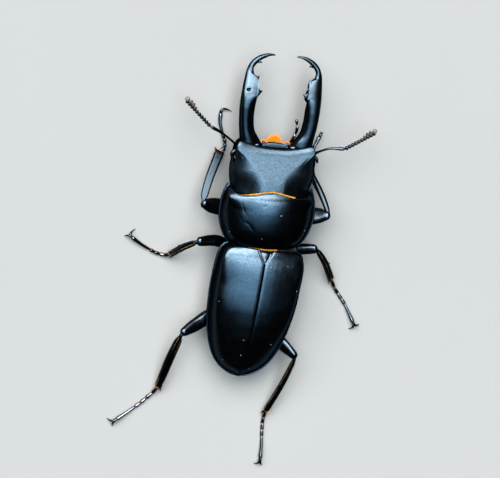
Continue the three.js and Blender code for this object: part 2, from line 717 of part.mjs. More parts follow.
const chestMiddle = () => BELLY.middle;
const bellyMiddle = profile([[-21.9, 3.9], [-20, 3.1], [-16, BELLY.middle + 0.15], [-10, BELLY.middle]]);
addPart(back, 'metasternum', cutByLegs(back, bellyPlate(-9.9, -0.75, chestMiddle, 10, 5)), shellFinish);
addPart(back, 'abdomen', cutByLegs(back, bellyPlate(-21.9, -10.1, bellyMiddle, 10, 7)), shellFinish);

for (const name of Object.keys(COXAE)) {
  for (const [side, sign] of SIDES) {
    const leg = LEGS[`${name}_${side}`];
    const socket = femurShape(leg, JOINT_GAP);
    addPart(beetle, `coxa_${name}_${side}`, cutBy(coxaShape(name, sign, 0), [socket]), jointFinish);
    addPart(beetle, `femur_${name}_${side}`, femurShape(leg, 0), legFinish);
    addPart(beetle, `tibia_${name}_${side}`, tibiaShape(leg), legFinish);
    addPart(beetle, `foot_${name}_${side}`, footShape(leg), legFinish);
    addPart(beetle, `claws_${name}_${side}`, clawsShape(leg), legFinish);
  }
}

// Stand the whole beetle on the ground, centred on the origin.
const box = new THREE.Box3().setFromObject(beetle, true);
const middle = box.getCenter(vec(0, 0, 0));
beetle.position.set(-middle.x, -middle.y, -box.min.z);

export default beetle;
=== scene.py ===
"""A life-size male stag beetle, mandibles open, standing on a pale studio floor.

Every piece is built in the beetle's own millimetres: X to its right, Y forward, Z up, from the
middle of the pronotum's hind edge at ground level. make_mesh takes it into the frame's metres.
"""

import math

import bpy
import numpy as np
from mathutils import Matrix, Vector


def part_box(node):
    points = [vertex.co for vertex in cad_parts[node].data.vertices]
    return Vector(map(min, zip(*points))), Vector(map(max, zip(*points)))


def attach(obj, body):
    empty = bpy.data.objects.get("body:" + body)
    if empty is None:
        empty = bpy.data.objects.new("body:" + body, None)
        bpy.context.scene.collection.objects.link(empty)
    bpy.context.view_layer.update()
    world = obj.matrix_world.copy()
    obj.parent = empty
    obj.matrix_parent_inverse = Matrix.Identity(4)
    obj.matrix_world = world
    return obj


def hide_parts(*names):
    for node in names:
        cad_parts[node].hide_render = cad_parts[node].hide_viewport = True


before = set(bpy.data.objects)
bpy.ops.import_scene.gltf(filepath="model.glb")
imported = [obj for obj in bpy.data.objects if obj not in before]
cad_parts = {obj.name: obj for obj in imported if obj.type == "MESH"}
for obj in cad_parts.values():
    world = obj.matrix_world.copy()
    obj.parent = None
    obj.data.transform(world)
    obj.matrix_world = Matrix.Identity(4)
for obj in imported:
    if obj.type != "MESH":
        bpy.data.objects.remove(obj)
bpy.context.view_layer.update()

# ---------------- sizes, in millimetres

MM = 0.001
UP = np.array([0.0, 0.0, 1.0])
SEED = 11
SIDES = {"left": -1, "right": 1}

# Y of the middle coxae's centres, from which the beetle's origin is found in the frame.
COXA_MID_Y = -3.0
# How far the front and hind halves of the body are turned, in degrees, and shifted to the right.
FRONT = {"yaw": 2.5, "shift": 0.1}
BACK = {"yaw": -1.5, "shift": 0.31}

PRONOTUM = {"half_width": 7.73, "rear": -0.42, "rim": 5.55, "crown": 9.3}
ELYTRA = {"half_width": 7.3, "front": -0.5, "apex": -22.35, "rim": 5.05, "crown": 9.24, "seam": 0.05}
HEAD = {"half_width": 6.85, "side": 5.5, "crown": 8.4, "belly": 3.2}
SCUTELLUM = {"half_width": 1.15, "base": -0.5, "tip": -2.65}
BELLY = {"middle": 2.25, "edge": 4.6}
BEAD = {"width": 0.28, "radius": 0.15, "square": 2.4}
EYE = {"centre": (6.1, 13.3, 5.75), "radii": (0.66, 1.05, 0.8)}

# Mandible stations from root to tip: outer edge x, y, inner edge x, y, depth.
MANDIBLE = [
    (5.35, 14.40, 2.60, 14.90, 2.4),
    (5.73, 15.60, 2.40, 15.90, 2.9),
    (5.83, 16.60, 2.75, 16.75, 2.8),
    (6.05, 18.00, 3.60, 18.00, 2.6),
    (6.27, 19.80, 3.95, 19.70, 2.4),
    (6.38, 21.80, 4.00, 21.60, 2.25),
    (6.35, 23.50, 3.98, 23.30, 2.1),
    (6.26, 25.00, 3.95, 24.50, 1.95),
    (6.17, 26.00, 3.97, 25.60, 1.8),
    (6.05, 27.10, 4.02, 26.45, 1.5),
    (5.95, 27.55, 4.42, 26.58, 1.4),
    (5.82, 27.95, 4.82, 26.98, 1.3),
    (5.50, 28.65, 4.99, 27.75, 1.15),
    (4.95, 29.30, 4.60, 28.45, 1.0),
    (4.15, 29.85, 3.98, 29.08, 0.9),
    (3.18, 30.20, 3.10, 29.62, 0.75),
    (2.39, 30.25, 2.38, 29.92, 0.6),
    (1.78, 30.16, 1.80, 29.98, 0.4),
]
# Curves over the number of the station: how sharp the inner edge is, how square the section is on
# the left (-1) and right (1), the level of the middle, and how far the round root has become a blade.
BLADE_SHARPNESS = [(0, 0), (5, 0), (6.2, 1), (9.3, 1), (10.5, 0.5), (13, 0.3), (17, 0)]
MANDIBLE_ROUNDNESS = {
    -1: [(0, 2.4), (5, 2.6), (7, 3.0), (9, 3.2), (12, 2.6), (17, 2.2)],
    1: [(0, 2.4), (5, 2.5), (7, 1.9), (9, 1.9), (12, 2.1), (17, 2.1)],
}
MANDIBLE_LEVELS = [
    (0, 4.95), (3, 5.37), (4.5, 5.63), (5, 5.71), (6, 5.71), (7, 5.455), (8, 5.2), (9, 5.01), (10, 4.92),
    (11, 4.86), (13, 4.82), (17, 4.8),
]
BLADE_SHARE = [(0, 0), (4.5, 0.05), (5.5, 0.4), (6.5, 1), (10, 1), (13, 0.4), (17, 0)]
# How far the crest of the root lies outward and how much the blade tilts, on the left and right.
MANDIBLE_CREST = {-1: 0.26, 1: 0.04}
MANDIBLE_TILT = {-1: 0.13, 1: 0.11}
# How high the inner edge lies, as a share of half the depth.
HIGH_EDGE = {"root": 0.1, "blade": 0.42}
# How far each millimetre under that level shifts the mandible outward and back.
LEAN = {"level": 5.8, "x": 0.2217, "y": -0.2271}
# Each tooth: root, middle and tip as seen from above, width and depth at its root.
TEETH = [
    {"way": [(4.45, 24.1), (3.85, 24.15), (3.12, 24.38)], "width": 3.0, "depth": 1.0},
    {"way": [(4.6, 25.7), (4.25, 26.25), (3.92, 26.88)], "width": 1.6, "depth": 0.8},
    {"way": [(4.6, 29.05), (4.12, 28.9), (3.62, 28.66)], "width": 1.3, "depth": 0.6},
]

# Heights of the six points of a foot, from its first joint to its end.
FORE_RISE = (0.95, 0.85, 0.75, 0.65, 0.45, 0.36)
LOW_RISE = (0.55, 0.33, 0.33, 0.33, 0.5, 0.8)

# Each leg's hip, knee, end of shin and foot joints; how its thigh bows and how stout it is; the
# shin's width in the middle and at the end and how square it is; how far thigh and shin roll, in
# degrees; and its claws: the way each points, in degrees anticlockwise from forward, and its length.
LEGS = {
    "fore_left": {
        "hip": (-3.9, 4.0, 2.6), "knee": (-10.39, 5.1, 5.3), "ankle": (-8.25, 13.0, 1.35),
        "foot": [
            (-7.55, 13.5), (-7.55, 14.25), (-7.77, 14.94), (-8.12, 15.64), (-8.83, 17.46), (-8.94, 18.99),
        ],
        "bow": (0, 0, -0.2), "stout": 1.4, "shin": (1.3, 1.45), "square": 5.0, "roll": (0, 8),
        "rise": FORE_RISE, "claws": [(-78, 1.8), (-60, 1.4)],
    },
    "fore_right": {
        "hip": (3.9, 4.0, 2.6), "knee": (9.82, 5.73, 5.8), "ankle": (6.6, 11.6, 1.3),
        "foot": [(6.85, 12.39), (6.8, 13.03), (6.7, 13.69), (6.63, 14.36), (7.07, 15.85), (7.59, 17.28)],
        "bow": (0, 0, -0.2), "stout": 1.45, "shin": (1.0, 1.05), "square": 2.0, "roll": (28, 0),
        "rise": FORE_RISE, "claws": [(-35, 0.8), (-5, 0.7)],
    },
    "mid_left": {
        "hip": (-3.3, -2.7, 2.4), "knee": (-10.11, -1.1, 5.2), "ankle": (-13.5, -4.6, 1.15),
        "foot": [
            (-14.23, -5.0), (-15.07, -4.97), (-15.91, -4.77), (-16.71, -4.44), (-18.41, -3.61),
            (-20.05, -2.62),
        ],
        "bow": (0, 0.9, -0.2), "stout": 1.0, "shin": (1.08, 1.05), "square": 2.6, "roll": (0, 0),
        "rise": LOW_RISE, "claws": [(-20, 1.35), (95, 1.1)],
    },
    "mid_right": {
        "hip": (3.3, -2.8, 2.4), "knee": (9.05, -0.22, 4.5), "ankle": (13.25, -5.6, 1.15),
        "foot": [
            (14.2, -7.1), (15.0, -8.05), (15.75, -8.9), (16.5, -9.74), (17.46, -11.21), (18.34, -12.6),
        ],
        "bow": (0, 0.5, -0.2), "stout": 1.0, "shin": (1.08, 1.1), "square": 2.6, "roll": (0, 0),
        "rise": LOW_RISE, "claws": [(-105, 1.3), (165, 1.4)],
    },
    "hind_left": {
        "hip": (-3.0, -10.5, 2.35), "knee": (-10.26, -16.27, 5.0), "ankle": (-12.08, -26.8, 1.1),
        "foot": [
            (-12.8, -28.1), (-13.6, -29.1), (-14.35, -29.95), (-15.2, -30.75), (-16.6, -31.95),
            (-18.0, -33.1),
        ],
        "bow": (0.2, -0.4, -0.6), "stout": 1.2, "shin": (1.4, 1.2), "square": 2.6, "roll": (0, 0),
        "rise": LOW_RISE, "claws": [(165, 1.45), (95, 1.45)],
    },
    "hind_right": {
        "hip": (2.9, -10.8, 2.35), "knee": (8.72, -18.3, 4.5), "ankle": (6.25, -29.0, 1.1),
        "foot": [(6.2, -30.3), (6.24, -31.35), (6.37, -32.45), (6.5, -33.55), (6.7, -35.5), (6.81, -37.4)],
        "bow": (-0.9, -0.7, -0.7), "stout": 1.2, "shin": (0.98, 0.98), "square": 2.4, "roll": (-24, 0),
        "rise": LOW_RISE, "claws": [(205, 1.45), (145, 1.45)],
    },
}
COXAE = {
    "fore": {"centre": (2.35, 3.7, 2.75), "radii": (1.85, 1.05, 1.0)},
    "mid": {"centre": (2.1, COXA_MID_Y, 2.65), "radii": (1.45, 1.2, 0.95)},
    "hind": {"centre": (2.5, -10.3, 2.65), "radii": (2.3, 0.9, 0.85)},
}
FOOT = {"width": 0.62, "waist": 0.47}
# Bristles of the shins: where the rows stand (aside, above), how many, how long, and the foot
# joints that carry tufts.
SHIN_COATS = {
    "fore": {"rows": ((-0.5, 0.0), (0.5, 0.0)), "count": 60, "reach": 0.2, "tufts": 1},
    "mid": {"rows": ((-0.48, 0.15), (0.0, 0.5), (0.48, 0.15)), "count": 90, "reach": 0.24, "tufts": 4},
    "hind": {"rows": ((-0.40, 0.42), (0.40, 0.42)), "count": 90, "reach": 0.2, "tufts": 4},
}
ANTENNAE = {
    "left": {
        "base": (-6.3, 14.85, 5.2), "bend": (-9.3, 16.75, 6.5), "elbow": (-11.5, 17.7, 6.9),
        "tip": (-15.6, 21.0, 5.6),
    },
    "right": {
        "base": (5.9, 15.2, 5.2), "bend": (7.9, 16.5, 6.4), "elbow": (10.3, 16.85, 6.9),
        "tip": (15.0, 19.8, 5.8),
    },
}
# How far each joint past the elbow stands out in front.
LEAF_REACH = (0.0, 0.02, 0.04, 0.06, 0.1, 0.14, 0.3, 0.5, 0.55, 0.3)

# ---------------- numbers and curves


def profile(pairs):
    """Smooth curve through (input, output) pairs, flat beyond both ends."""
    inputs, outputs = np.array(pairs, float).T
    slopes = np.empty(len(inputs))
    slopes[1:-1] = (outputs[2:] - outputs[:-2]) / (inputs[2:] - inputs[:-2])
    slopes[0] = (outputs[1] - outputs[0]) / (inputs[1] - inputs[0])
    slopes[-1] = (outputs[-1] - outputs[-2]) / (inputs[-1] - inputs[-2])

    def value(x):
        x = np.clip(x, inputs[0], inputs[-1])
        i = np.clip(np.searchsorted(inputs, x, side="right") - 1, 0, len(inputs) - 2)
        span = inputs[i + 1] - inputs[i]
        t = (x - inputs[i]) / span
        start = outputs[i] * (2 * t**3 - 3 * t**2 + 1) + slopes[i] * span * (t**3 - 2 * t**2 + t)
        end = outputs[i + 1] * (3 * t**2 - 2 * t**3) + slopes[i + 1] * span * (t**3 - t**2)
        return start + end

    return value


def mix(a, b, t):
    return a + (b - a) * t


def smooth(low, high, x):
    """0 below low, 1 above high and an even slope between."""
    t = np.clip((x - low) / (high - low), 0, 1)
    return t * t * (3 - 2 * t)


def hump(x, centre, width):
    return np.exp(-(((x - centre) / width) ** 2))


def gathered(count):
    """Places from 0 to 1 that gather towards both ends."""
    return (1 - np.cos(np.linspace(0, np.pi, count))) / 2


def crowded(count):
    """Places from -1 to 1 that crowd towards both sides."""
    return np.sin(np.linspace(-0.5, 0.5, count) * np.pi)


def unit(vectors):
    vectors = np.asarray(vectors, float)
    return vectors / np.maximum(np.linalg.norm(vectors, axis=-1, keepdims=True), 1e-12)


def curve(points, count):
    """Points along a smooth curve through the given ones, gathered towards both ends."""
    points = np.array(points, float)
    steps = np.linalg.norm(np.diff(points, axis=0), axis=1)
    reach = np.concatenate([[0], np.cumsum(steps)])
    places = reach[-1] * gathered(count)
    return np.stack([profile(list(zip(reach, points[:, k])))(places) for k in range(3)], axis=1)


def edge_fall(distance, radius):
    """How far a surface has rounded down at that distance from its edge."""
    inside = np.clip(radius - distance, 0, radius)
    return radius - np.sqrt(radius**2 - inside**2)


def vault(across, flatness, edge):
    """Height of a vaulted plate, 1 in the middle and 0 at its side: an even curve and a steep edge."""
    across = np.clip(np.abs(across), 0, 1)
    return flatness * (1 - across**2) + (1 - flatness) * np.sqrt(1 - across**edge)


def placed(points, half):
    """Points of one half of the body, taken into the frame of the whole beetle."""
    turn = math.radians(half["yaw"])
    c, s = math.cos(turn), math.sin(turn)
    x, y, z = np.moveaxis(np.asarray(points, float), -1, 0)
    return np.stack([c * x - s * y + half["shift"], s * x + c * y, z], axis=-1)


# ---------------- closed shapes
# A shape is (points, faces), where faces is a list of arrays of point numbers.


def grid(rows, columns, wrap=False):
    """Quads between the points of a grid; wrap closes each row to a ring."""
    i = np.arange(rows - 1)[:, None] * columns
    j = np.arange(columns if wrap else columns - 1)[None, :]
    a, b = i + j, i + (j + 1) % columns
    return np.stack([a, b, b + columns, a + columns], axis=-1).reshape(-1, 4)


def skin(rings):
    """Closed tube through rings of points, with a point in the middle of each end."""
    rows, sides = rings.shape[:2]
    points = rings.reshape(-1, 3)
    middles = np.stack([rings[0].mean(axis=0), rings[-1].mean(axis=0)])
    k = np.arange(sides)
    after = (k + 1) % sides
    last = (rows - 1) * sides
    first_cap = np.stack([after, k, np.full(sides, len(points))], axis=-1)
    last_cap = np.stack([last + k, last + after, np.full(sides, len(points) + 1)], axis=-1)
    return np.concatenate([points, middles]), [grid(rows, sides, True), first_cap, last_cap]


def shell(top, bottom):
    """Closed plate from two grids of points whose side columns are shared."""
    rows, columns = top.shape[:2]
    rings = np.concatenate([top, bottom[:, -2:0:-1]], axis=1)
    sides = rings.shape[1]
    walls = grid(rows, sides, True)
    above = np.arange(columns)
    below = (sides - above) % sides
    below[-1] = columns - 1
    caps = []
    for start in (0, (rows - 1) * sides):
        quads = np.stack([above[:-1], above[1:], below[1:], below[:-1]], axis=-1) + start
        caps.append(quads if start else quads[:, ::-1])
    first, last = caps
    ends = [first[1:-1], last[1:-1]]
    for quads in (first, last):
        for quad in (quads[0], quads[-1]):
            kept = list(dict.fromkeys(quad.tolist()))
            ends.append(np.array([kept]))
    return rings.reshape(-1, 3), [walls] + ends


def plate(x, y, top, low):
    """Closed plate between two heights over a grid. The lower one meets the upper at the sides."""
    top, low = (np.broadcast_to(height, x.shape).copy() for height in (top, low))
    low[:, [0, -1]] = top[:, [0, -1]]
    return shell(np.stack([x, y, top], axis=-1), np.stack([x, y, low], axis=-1))


def outward(points, faces):
    """Faces turned so that the closed shape's volume is positive."""
    volume = 0.0
    for group in faces:
        corners = points[group]
        for k in range(1, corners.shape[1] - 1):
            volume += np.einsum("ij,ij->", corners[:, 0], np.cross(corners[:, k], corners[:, k + 1]))
    return faces if volume > 0 else [group[:, ::-1] for group in faces]


def limb(path, width, depth, sides=24, squareness=2.0, ridges=0, ridge_height=0.0, roll=0.0):
    """Rings of oval section along a path, none of it under the ground."""
    ahead = unit(np.gradient(path, axis=0))
    side = unit(np.cross(ahead, UP))
    lift = np.cross(side, ahead)
    turn = (np.arange(sides) + 0.5) / sides * 2 * np.pi
    across = np.sign(np.cos(turn)) * np.abs(np.cos(turn)) ** (2 / squareness)
    above = np.sign(np.sin(turn)) * np.abs(np.sin(turn)) ** (2 / squareness)
    swell = 1 + ridge_height * np.cos(ridges * turn)
    width = np.broadcast_to(width, len(path))[:, None] / 2
    depth = np.broadcast_to(depth, len(path))[:, None] / 2
    c, s = math.cos(math.radians(roll)), math.sin(math.radians(roll))
    aside, up = width * across * swell, depth * above * swell
    sideways = (c * aside - s * up)[..., None] * side[:, None]
    upward = (s * aside + c * up)[..., None] * lift[:, None]
    rings = path[:, None] + sideways + upward
    rings[..., 2] = np.maximum(rings[..., 2], 0.0)
    return skin(rings)


def round_ends(count, start, end):
    """Share of full width along a limb that is rounded off over those shares of its length."""
    places = gathered(count)
    near = np.clip(places / start, 0, 1)
    far = np.clip((1 - places) / end, 0, 1)
    return np.maximum(np.sqrt(1 - (1 - near) ** 2) * np.sqrt(1 - (1 - far) ** 2), 0.04)


def girths(count, places, sizes, start=0.0, end=0.0):
    """Thickness along a limb, rounded off over the shares start and end of its length."""
    sizes = np.interp(gathered(count), places, sizes)
    return sizes * round_ends(count, start, end) if start else sizes


def ellipsoid(centre, radii, around=40, rows=24):
    across = -np.cos(np.linspace(0, np.pi, rows))
    girth = np.maximum(np.sqrt(np.maximum(1 - across**2, 0)), 0.02)
    turn = np.arange(around) / around * 2 * np.pi
    ring = np.stack([np.zeros(around), np.cos(turn), np.sin(turn)], axis=-1)
    path = np.stack([across, 0 * across, 0 * across], axis=-1)
    rings = path[:, None] + girth[:, None, None] * ring[None]
    return skin(rings * np.array(radii) + np.array(centre))


def spine(root, tip, width, sides=10, rows=9):
    """Thorn that tapers from root to a fine tip."""
    root, tip = np.array(root, float), np.array(tip, float)
    path = curve([root, (root + tip) / 2, tip], rows)
    girth = width * np.maximum(1 - gathered(rows), 0.05) ** 0.8
    return limb(path, girth, girth, sides)


def turned(shape, half):
    return placed(shape[0], half), shape[1]


def mirrored(shape):
    return shape[0] * np.array([-1, 1, 1]), shape[1]


# ---------------- objects in the frame


def body_origin():
    """Where the middle of the pronotum's hind edge stands, found from the middle coxae."""
    low_left, high_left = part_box("coxa_mid_left")
    low_right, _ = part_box("coxa_mid_right")
    middle = (high_left.x + low_right.x) / 2
    centre = (low_left.y + high_left.y) / 2
    return np.array([middle / MM, centre / MM - COXA_MID_Y, 0.0])


ORIGIN = body_origin()


def to_frame(points):
    return (np.asarray(points, float) + ORIGIN) * MM


def make_mesh(name, shapes):
    faces = []
    start = 0
    for points, groups in shapes:
        for group in outward(points, groups):
            faces.extend((group + start).tolist())
        start += len(points)
    mesh = bpy.data.meshes.new(name)
    mesh.from_pydata(to_frame(np.concatenate([points for points, _ in shapes])).tolist(), [], faces)
    mesh.shade_smooth()
    mesh.validate()
    return mesh


def stand(name, data):
    """New object that holds the data, put into the scene."""
    thing = bpy.data.objects.new(name, data)
    bpy.context.scene.collection.objects.link(thing)
    return thing


def add_piece(name, mesh, nodes=()):
    piece = stand(name, mesh)
    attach(piece, "root")
    if nodes:
        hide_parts(*nodes)


def build(name, shapes, finish, nodes=()):
    """One visible piece from closed shapes, which stands for those CAD nodes."""
    material, slot = finish
    mesh = make_mesh(name, shapes)
    mesh.materials.append(material)
    add_piece(name, mesh, nodes)


# ---------------- finishes


class Graph:
    """A node tree, its nodes added and joined in short calls."""

    def __init__(self, tree):
        self.tree = tree

    def add(self, kind, settings=None, **inputs):
        """New node. A space in an input's name is written as an underscore."""
        node = self.tree.nodes.new(kind)
        for key, value in (settings or {}).items():
            setattr(node, key, value)
        self.fill(node, inputs)
        return node

    def fill(self, node, inputs):
        for key, value in inputs.items():
            self.put(node.inputs[key.replace("_", " ")], value)

    def put(self, socket, value):
        if isinstance(value, bpy.types.NodeSocket):
            self.tree.links.new(value, socket)
        elif socket.type == "RGBA":
            socket.default_value = (*value, 1.0)
        else:
            socket.default_value = value

    def join(self, kind, operation, first, second):
        """Result of a math node with two inputs."""
        node = self.add(kind, {"operation": operation})
        self.put(node.inputs[0], first)
        self.put(node.inputs[1], second)
        return node.outputs[0]

    def times(self, first, second):
        return self.join("ShaderNodeMath", "MULTIPLY", first, second)


class Finish(Graph):
    """A material whose patterns lie in the object's own space."""

    def __init__(self, name):
        self.material = bpy.data.materials.new(name)
        self.material.use_nodes = True
        super().__init__(self.material.node_tree)
        coordinates = self.add("ShaderNodeTexCoord")
        self.place = coordinates.outputs["Object"]
        self.normal = coordinates.outputs["Normal"]

    def noise(self, scale, detail=2.0, place=None):
        node = self.add("ShaderNodeTexNoise", Vector=place or self.place, Scale=scale, Detail=detail)
        return node.outputs["Fac"]

    def ranged(self, value, low, high, to_low, to_high):
        limits = {"From_Min": low, "From_Max": high, "To_Min": to_low, "To_Max": to_high}
        return self.add("ShaderNodeMapRange", Value=value, **limits).outputs["Result"]

    def by_slope(self, level, steep):
        """Value that goes from one on steep flanks to the other on the level back."""
        facing = self.add("ShaderNodeSeparateXYZ", Vector=self.normal)
        return self.ranged(facing.outputs["Z"], 0.35, 0.8, steep, level)

    def blend(self, amount, first, second):
        """Mix of two colours; the node's sockets 6 and 7 take them and its output 2 gives it."""
        node = self.add("ShaderNodeMix", {"data_type": "RGBA"})
        for number, value in ((0, amount), (6, first), (7, second)):
            self.put(node.inputs[number], value)
        return node.outputs[2]

    def bump(self, height, distance, strength=1.0, normal=None):
        node = self.add("ShaderNodeBump", Height=height, Distance=distance, Strength=strength)
        if normal:
            self.put(node.inputs["Normal"], normal)
        return node.outputs["Normal"]

    def shade(self, **inputs):
        self.fill(self.tree.nodes["Principled BSDF"], inputs)
        return self.material


# Horn is shaded as a dark polished metal: its faint mirror tint, a painted shade that darkens its steep
# flanks, and the darker one at its rims.
HORN_DEEP = (0.036, 0.051, 0.064)
HORN_LIGHT = (0.047, 0.063, 0.077)
HORN_PITS = (0.016, 0.024, 0.031)
HORN_FLANK_PAINTED_SHADE = (0.010, 0.013, 0.017)
DARK_RIM = (0.16, 0.2, 0.24)
DUST = {"colour": (0.42, 0.40, 0.36), "cells": 420.0, "picked": 0.72}


def dust_specks(finish):
    """1 on a few small specks strewn over the level back, and 0 elsewhere."""
    flat_cells = {"voronoi_dimensions": "2D"}
    cells = finish.add("ShaderNodeTexVoronoi", flat_cells, Vector=finish.place, Scale=DUST["cells"])
    chance = finish.add("ShaderNodeSeparateColor", Color=cells.outputs["Color"]).outputs
    spread = finish.times(cells.outputs["Distance"], finish.ranged(chance[1], 0.0, 1.0, 0.9, 2.2))
    near = finish.ranged(spread, 0.022, 0.045, 1.0, 0.0)
    picked = finish.ranged(chance[0], DUST["picked"], DUST["picked"] + 0.02, 0.0, 1.0)
    return finish.times(finish.times(near, picked), finish.by_slope(1.0, 0.0))


def cuticle(name, roughness, grain, streaks=False, dust=True, shine=1.0):
    """Black horny shell: fine grain, uneven gloss, painted shade that darkens its steep flanks and, on the
    back, a few specks of dust.
    """
    finish = Finish(name)
    cloud = finish.noise(650, 3.0)
    tint = finish.blend(cloud, [shine * part for part in HORN_DEEP], [shine * part for part in HORN_LIGHT])
    mottle = finish.ranged(finish.noise(3400), 0.35, 0.65, 0.0, 0.24 + 0.22 * grain)
    tint = finish.blend(mottle, tint, HORN_PITS)
    # Painted shade: the mirror tint turns darker on steep flanks, set by the surface's slope alone.
    tint = finish.blend(finish.by_slope(0.0, 0.75), tint, HORN_FLANK_PAINTED_SHADE)
    metal = 1.0
    if dust:
        specks = dust_specks(finish)
        tint = finish.blend(specks, tint, DUST["colour"])
        metal = finish.ranged(specks, 0.0, 1.0, 1.0, 0.0)
    gloss = finish.times(finish.ranged(cloud, 0.3, 0.7, 0.9, 1.12), finish.by_slope(roughness, 0.38))
    normal = finish.bump(finish.noise(15000), 0.000006, grain)
    normal = finish.bump(finish.noise(5200), 0.000016, 0.5 * grain, normal)
    if streaks:
        drawn_out = finish.add("ShaderNodeMapping", Vector=finish.place, Scale=(1.0, 0.06, 1.0))
        lines = finish.noise(9000, 3.0, drawn_out.outputs["Vector"])
        normal = finish.bump(lines, 0.000006, 0.35, normal)
    return finish.shade(
        Base_Color=tint, Roughness=gloss, Normal=normal, Metallic=metal, Specular_Tint=DARK_RIM,
    )


def limb_cuticle(name, deep, light, roughness):
    """Polished shell of the limbs, a little uneven in tint and gloss."""
    finish = Finish(name)
    cloud = finish.noise(1500, 3.0)
    tint = finish.blend(cloud, deep, light)
    gloss = finish.ranged(cloud, 0.3, 0.7, roughness, roughness * 1.4)
    normal = finish.bump(finish.noise(9000), 0.000003, 0.4)
    return finish.shade(
        Base_Color=tint, Roughness=gloss, Normal=normal, Metallic=1.0, Specular_Tint=DARK_RIM,
    )


def joint_cuticle(name):
    """Dull brown-black skin of the joints."""
    finish = Finish(name)
    cloud = finish.noise(1200, 3.0)
    tint = finish.blend(cloud, (0.003, 0.002, 0.002), (0.010, 0.005, 0.003))
    gloss = finish.ranged(cloud, 0.3, 0.7, 0.35, 0.55)
    normal = finish.bump(finish.noise(7000), 0.00002, 0.6)
    return finish.shade(Base_Color=tint, Roughness=gloss, Normal=normal)


def eye_cornea(name):
    """Polished eye with a fine pattern of facets."""
    finish = Finish(name)
    facets = finish.add("ShaderNodeTexVoronoi", Vector=finish.place, Scale=26000.0)
    tint = finish.blend(finish.noise(2500), (0.030, 0.034, 0.040), (0.048, 0.040, 0.036))
    normal = finish.bump(facets.outputs["Distance"], 0.000004, 0.25)
    return finish.shade(
        Base_Color=tint, Roughness=0.12, Normal=normal, Metallic=1.0, Specular_Tint=DARK_RIM,
    )


def bristle_finish(name, deep, light):
    finish = Finish(name)
    tint = finish.blend(finish.ranged(finish.noise(4000), 0.35, 0.65, 0.0, 1.0), deep, light)
    return finish.shade(Base_Color=tint, Roughness=0.6, Specular_IOR_Level=0.25)


def club_velvet(name, deep, light):
    """Down on the feeler's leaves, darker and paler in patches."""
    finish = Finish(name)
    tint = finish.blend(finish.noise(3500), deep, light)
    normal = finish.bump(finish.noise(22000), 0.00002, 0.8)
    return finish.shade(
        Base_Color=tint, Roughness=0.6, Sheen_Weight=0.05, Sheen_Roughness=0.4, Normal=normal,
    )


def floor_finish(name):
    finish = Finish(name)
    tint = finish.blend(finish.noise(12.0, 3.0), (0.215, 0.208, 0.198), (0.23, 0.222, 0.212))
    return finish.shade(Base_Color=tint, Roughness=0.9, Specular_IOR_Level=0.1)


SHELL = (cuticle("shell_black", 0.22, 0.60, shine=1.06), "shell")
WING_CASE = (cuticle("wing_case_black", 0.25, 0.70, streaks=True, shine=1.16), "shell")
MANDIBLE_FINISH = (cuticle("mandible_black", 0.25, 0.35, dust=False), "shell")
HEAD_FINISH = (cuticle("head_black", 0.34, 1.0, dust=False, shine=1.22), "shell")
LIMB = (limb_cuticle("limb_black", (0.042, 0.054, 0.066), (0.050, 0.060, 0.068), 0.2), "limbs")
TARSUS = (limb_cuticle("tarsus_black", (0.095, 0.112, 0.130), (0.120, 0.132, 0.142), 0.14), "limbs")
FEELER = (limb_cuticle("feeler_black", (0.038, 0.044, 0.052), (0.046, 0.052, 0.058), 0.08), "limbs")
FORE_SHIN = (limb_cuticle("fore_shin_black", (0.018, 0.024, 0.030), (0.024, 0.030, 0.036), 0.2), "limbs")
JOINT = (joint_cuticle("joint_brown_black"), "joints")
EYE_FINISH = (eye_cornea("eye_polish"), "eyes")
LABRUM_FINISH = (cuticle("labrum_grey", 0.34, 0.6, dust=False), "brush")
VELVET = (club_velvet("club_brown", (0.008, 0.005, 0.003), (0.065, 0.036, 0.016)), "limbs")
PALE_VELVET = (club_velvet("club_pale", (0.045, 0.043, 0.041), (0.16, 0.155, 0.15)), "limbs")
ORANGE = (bristle_finish("bristle_orange", (0.55, 0.11, 0.002), (0.90, 0.27, 0.006)), "brush")
AMBER = (bristle_finish("bristle_amber", (0.30, 0.11, 0.008), (0.55, 0.27, 0.03)), "brush")
GOLD = (bristle_finish("bristle_gold", (0.26, 0.12, 0.03), (0.62, 0.36, 0.12)), "limbs")

# ---------------- bristles

# Each bristle's patch in the bake map, and the rows that the batches take there.
TUFT_PATCH = 0.003
BAKE_ROWS = 40


class Bristles:
    """Roots, directions and sizes of a group of bristles."""

    def __init__(self, seed):
        self.random = np.random.default_rng(seed)
        self.roots, self.lies, self.reaches, self.girths, self.spots = [], [], [], [], []

    def add(self, roots, lies, reach, girth, spread, jitter=0.0):
        """One batch: lies strays by spread and each root by jitter."""
        roots = np.atleast_2d(np.asarray(roots, float))
        count = len(roots)
        lies = unit(np.broadcast_to(np.asarray(lies, float), (count, 3)))
        self.roots.append(roots + self.random.normal(0, 1, (count, 3)) * jitter)
        self.lies.append(unit(lies + self.random.normal(0, 1, (count, 3)) * spread))
        self.reaches.append(np.broadcast_to(reach, count) * self.random.uniform(0.7, 1.15, count))
        self.girths.append(np.broadcast_to(girth, count) * self.random.uniform(0.8, 1.1, count))
        along = (np.arange(count) + 0.5) / count
        row = np.full(count, (len(self.spots) % BAKE_ROWS + 0.5) / BAKE_ROWS)
        self.spots.append(np.stack([along, row, np.zeros(count)], axis=-1))

    def mesh(self, name):
        mesh = bpy.data.meshes.new(name)
        mesh.from_pydata(to_frame(np.concatenate(self.roots)).tolist(), [], [])
        for key, values in (
            ("lie", np.concatenate(self.lies)),
            ("spot", np.concatenate(self.spots)),
            ("reach", np.concatenate(self.reaches) * MM),
            ("girth", np.concatenate(self.girths) * MM),
        ):
            kind, field = ("FLOAT_VECTOR", "vector") if values.ndim == 2 else ("FLOAT", "value")
            attribute = mesh.attributes.new(key, kind, "POINT")
            attribute.data.foreach_set(field, values.astype(np.float32).ravel())
        return mesh


